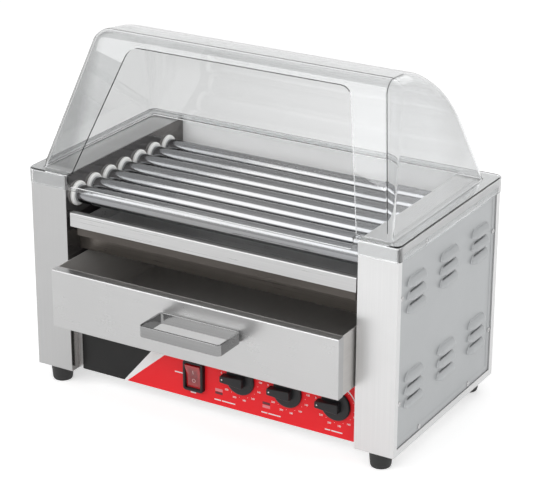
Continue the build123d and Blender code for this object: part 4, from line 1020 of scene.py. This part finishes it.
def mark(x, z, width, height):
    """A thin printed bar on the panel."""
    bar = np.array([(-width / 2, -height / 2), (width / 2, -height / 2), (width / 2, height / 2),
                    (-width / 2, height / 2)])
    rows = np.stack([np.column_stack([bar, np.full(4, level)]) for level in (0.0, INK)])
    points, quads = surface(rows, wrap=True)
    return on_panel((points, np.concatenate([quads, [[4, 5, 6, 7]]])), x, panel_y, z)


def numerals(words, size):
    """Flat numbers as points and faces, each at its own middle point."""
    shapes = []
    for text, x, z in words:
        data = bpy.data.curves.new("numeral", "FONT")
        data.body = text
        data.size = size
        data.align_x = data.align_y = "CENTER"
        data.resolution_u = 3
        data.offset = 0.09
        holder = bpy.data.objects.new("numeral", data)
        mesh = bpy.data.meshes.new_from_object(holder)
        flat = np.empty(len(mesh.vertices) * 3)
        mesh.vertices.foreach_get("co", flat)
        flat = flat.reshape(-1, 3) + (x, z, 0)
        mesh.calc_loop_triangles()
        corners_of = np.empty(len(mesh.loop_triangles) * 3, dtype=np.int64)
        mesh.loop_triangles.foreach_get("vertices", corners_of)
        shapes.append((np.stack([flat[:, 0], np.full(len(flat), panel_y - INK), flat[:, 1]], axis=-1),
                       corners_of.reshape(-1, 3)))
        bpy.data.objects.remove(holder)
        bpy.data.curves.remove(data)
        bpy.data.meshes.remove(mesh)
    return joined(shapes)


def crescent(x, z, start, end, thick, steps=24):
    """A printed arc that widens on its way: radius = arc radius +- (thick t / 2 + 0.2), t from 0 to 1."""
    t = np.linspace(0, 1, steps)
    angle = np.radians(start + (end - start) * t)
    radius = DIAL_ARC_R + np.stack([-t * thick / 2 - 0.2, t * thick / 2 + 0.2])
    flat = np.stack([radius * np.cos(angle), radius * np.sin(angle), np.full((2, steps), INK)], axis=-1)
    return on_panel(surface(flat), x, panel_y, z)


whites, numbers = [], []
for k in KNOBS:
    x, z = knob_axis(k)
    angles = np.radians(DIAL_START - DIAL_STEP * np.arange(12))
    for step, angle in enumerate(angles):
        right, up = math.cos(angle), math.sin(angle)
        if k != 3 or right <= 0.2 or up <= -0.1:
            numbers.append((str(step * 20), x + DIAL_NUMBER_R * right, z + DIAL_NUMBER_R * up))
    for angle in angles[:-1] - math.radians(DIAL_STEP / 2):
        whites.append(mark(x + DIAL_DOT_R * math.cos(angle), z + DIAL_DOT_R * math.sin(angle), 0.7, 0.7))
    if k == 3:
        whites.append(crescent(x, z, -8, 84, 2.6))

piece("dial_numbers", numerals(numbers, 3.7), ink_white, "cabinet", closed=False)
for x, width in ((17.5, 35.7), (92.0, 32.3), (190.3, 28.5)):
    whites.append(mark(x - width * 0.33, CAPTION_Z, width * 0.30, 1.7))
    whites.append(mark(x + width * 0.17, CAPTION_Z, width * 0.60, 1.7))
whites.append(mark(-58.0, 59.0, 14.0, 1.9))
whites.append(mark(-34.6, 33.5, 9.0, 1.9))
piece("panel_marks", joined(whites), ink_white, "cabinet", closed=False)
piece("panel_icons_light", joined([mark(7.8, 47.6, 12.0, 4.2), mark(84.4, 41.7, 12.0, 4.2)]),
      ink_light, "cabinet", closed=False)
piece("panel_icons_dark", joined([mark(7.8, 43.0, 12.0, 3.8), mark(84.4, 46.8, 12.0, 3.8)]),
      ink_dark, "cabinet", closed=False)

# ---- stage, lamps and camera
def lamp(name, place, target, size, power, in_gloss=False):
    """A soft square lamp that faces a point, and shows in glossy surfaces only where asked."""
    data = bpy.data.lights.new(name, "AREA")
    data.shape = "SQUARE"
    data.size = size
    data.energy = power
    thing = bpy.data.objects.new(name, data)
    thing.visible_glossy = in_gloss
    way = np.array(target, float) - np.array(place, float)
    thing.matrix_world = Matrix.Translation(place) @ look(way).to_4x4()
    bpy.context.scene.collection.objects.link(thing)


def look(way):
    """Turn that points -z along a direction with y up."""
    from_z = -np.array(way) / np.linalg.norm(way)
    right = np.cross((0, 0, 1), from_z)
    right = right / np.linalg.norm(right)
    up = np.cross(from_z, right)
    return Matrix(np.stack([right, up, from_z], axis=1).tolist())


lamp("key", (-1.6, -2.2, 2.6), (0, 0, 0.2), 2.2, 40, in_gloss=True)
lamp("fill", (2.6, -1.2, 1.6), (0, 0, 0.2), 2.4, 16)
lamp("back", (0.4, 2.4, 2.4), (0, 0, 0.3), 2.4, 24)
lamp("front", (0.2, -3.0, 1.9), (0, 0, 0.3), 2.0, 22)

ground = Finish("pale_floor")
where, _, _, _ = ground.place()
dust = ground.noise(where, 3.0, 2.0, 0.5)
matte = ground.add("BsdfPrincipled", inputs={
    "Base Color": ground.mix(dust, grey(0.86), grey(0.88)), "Roughness": 0.9}).out(0)
lift = ground.add("Emission", inputs={0: (1, 1, 1, 1), 1: ground.looked_at() * 0.46}).out(0)
ground.add("OutputMaterial", inputs={0: ground.add("AddShader", inputs={0: matte, 1: lift}).out(0)})
floor_mesh = bpy.data.meshes.new("floor")
floor_mesh.from_pydata([(-20, -20, 0), (20, -20, 0), (20, 20, 0), (-20, 20, 0)], [], [(0, 1, 2, 3)])
floor_mesh.materials.append(ground.material)
floor = bpy.data.objects.new("floor", floor_mesh)
bpy.context.scene.collection.objects.link(floor)

room = Finish("soft_room", "worlds")
level = room.looked_at() * 0.58 + 0.42
sky = room.add("Background", inputs={0: (1, 1, 1, 1), 1: level}).out(0)
room.add("OutputWorld", inputs={0: sky})
bpy.context.scene.world = room.material

AZIMUTH, ELEVATION, ROLL = np.radians((30.69, 22.27, 0.14))
camera_data = bpy.data.cameras.new("camera")
camera_data.lens = 136.84
camera_data.sensor_width = 36.0
camera_data.clip_end = 100.0
camera = bpy.data.objects.new("camera", camera_data)
bpy.context.scene.collection.objects.link(camera)
back_way = np.array([
    math.sin(AZIMUTH) * math.cos(ELEVATION), -math.cos(AZIMUTH) * math.cos(ELEVATION), math.sin(ELEVATION)])
turn = look(-back_way).to_4x4() @ Matrix.Rotation(ROLL, 4, "Z")
camera.matrix_world = Matrix.Translation((1.3571, -2.2333, 1.2957)) @ turn
bpy.context.scene.camera = camera
bpy.context.scene.view_settings.view_transform = "Standard"
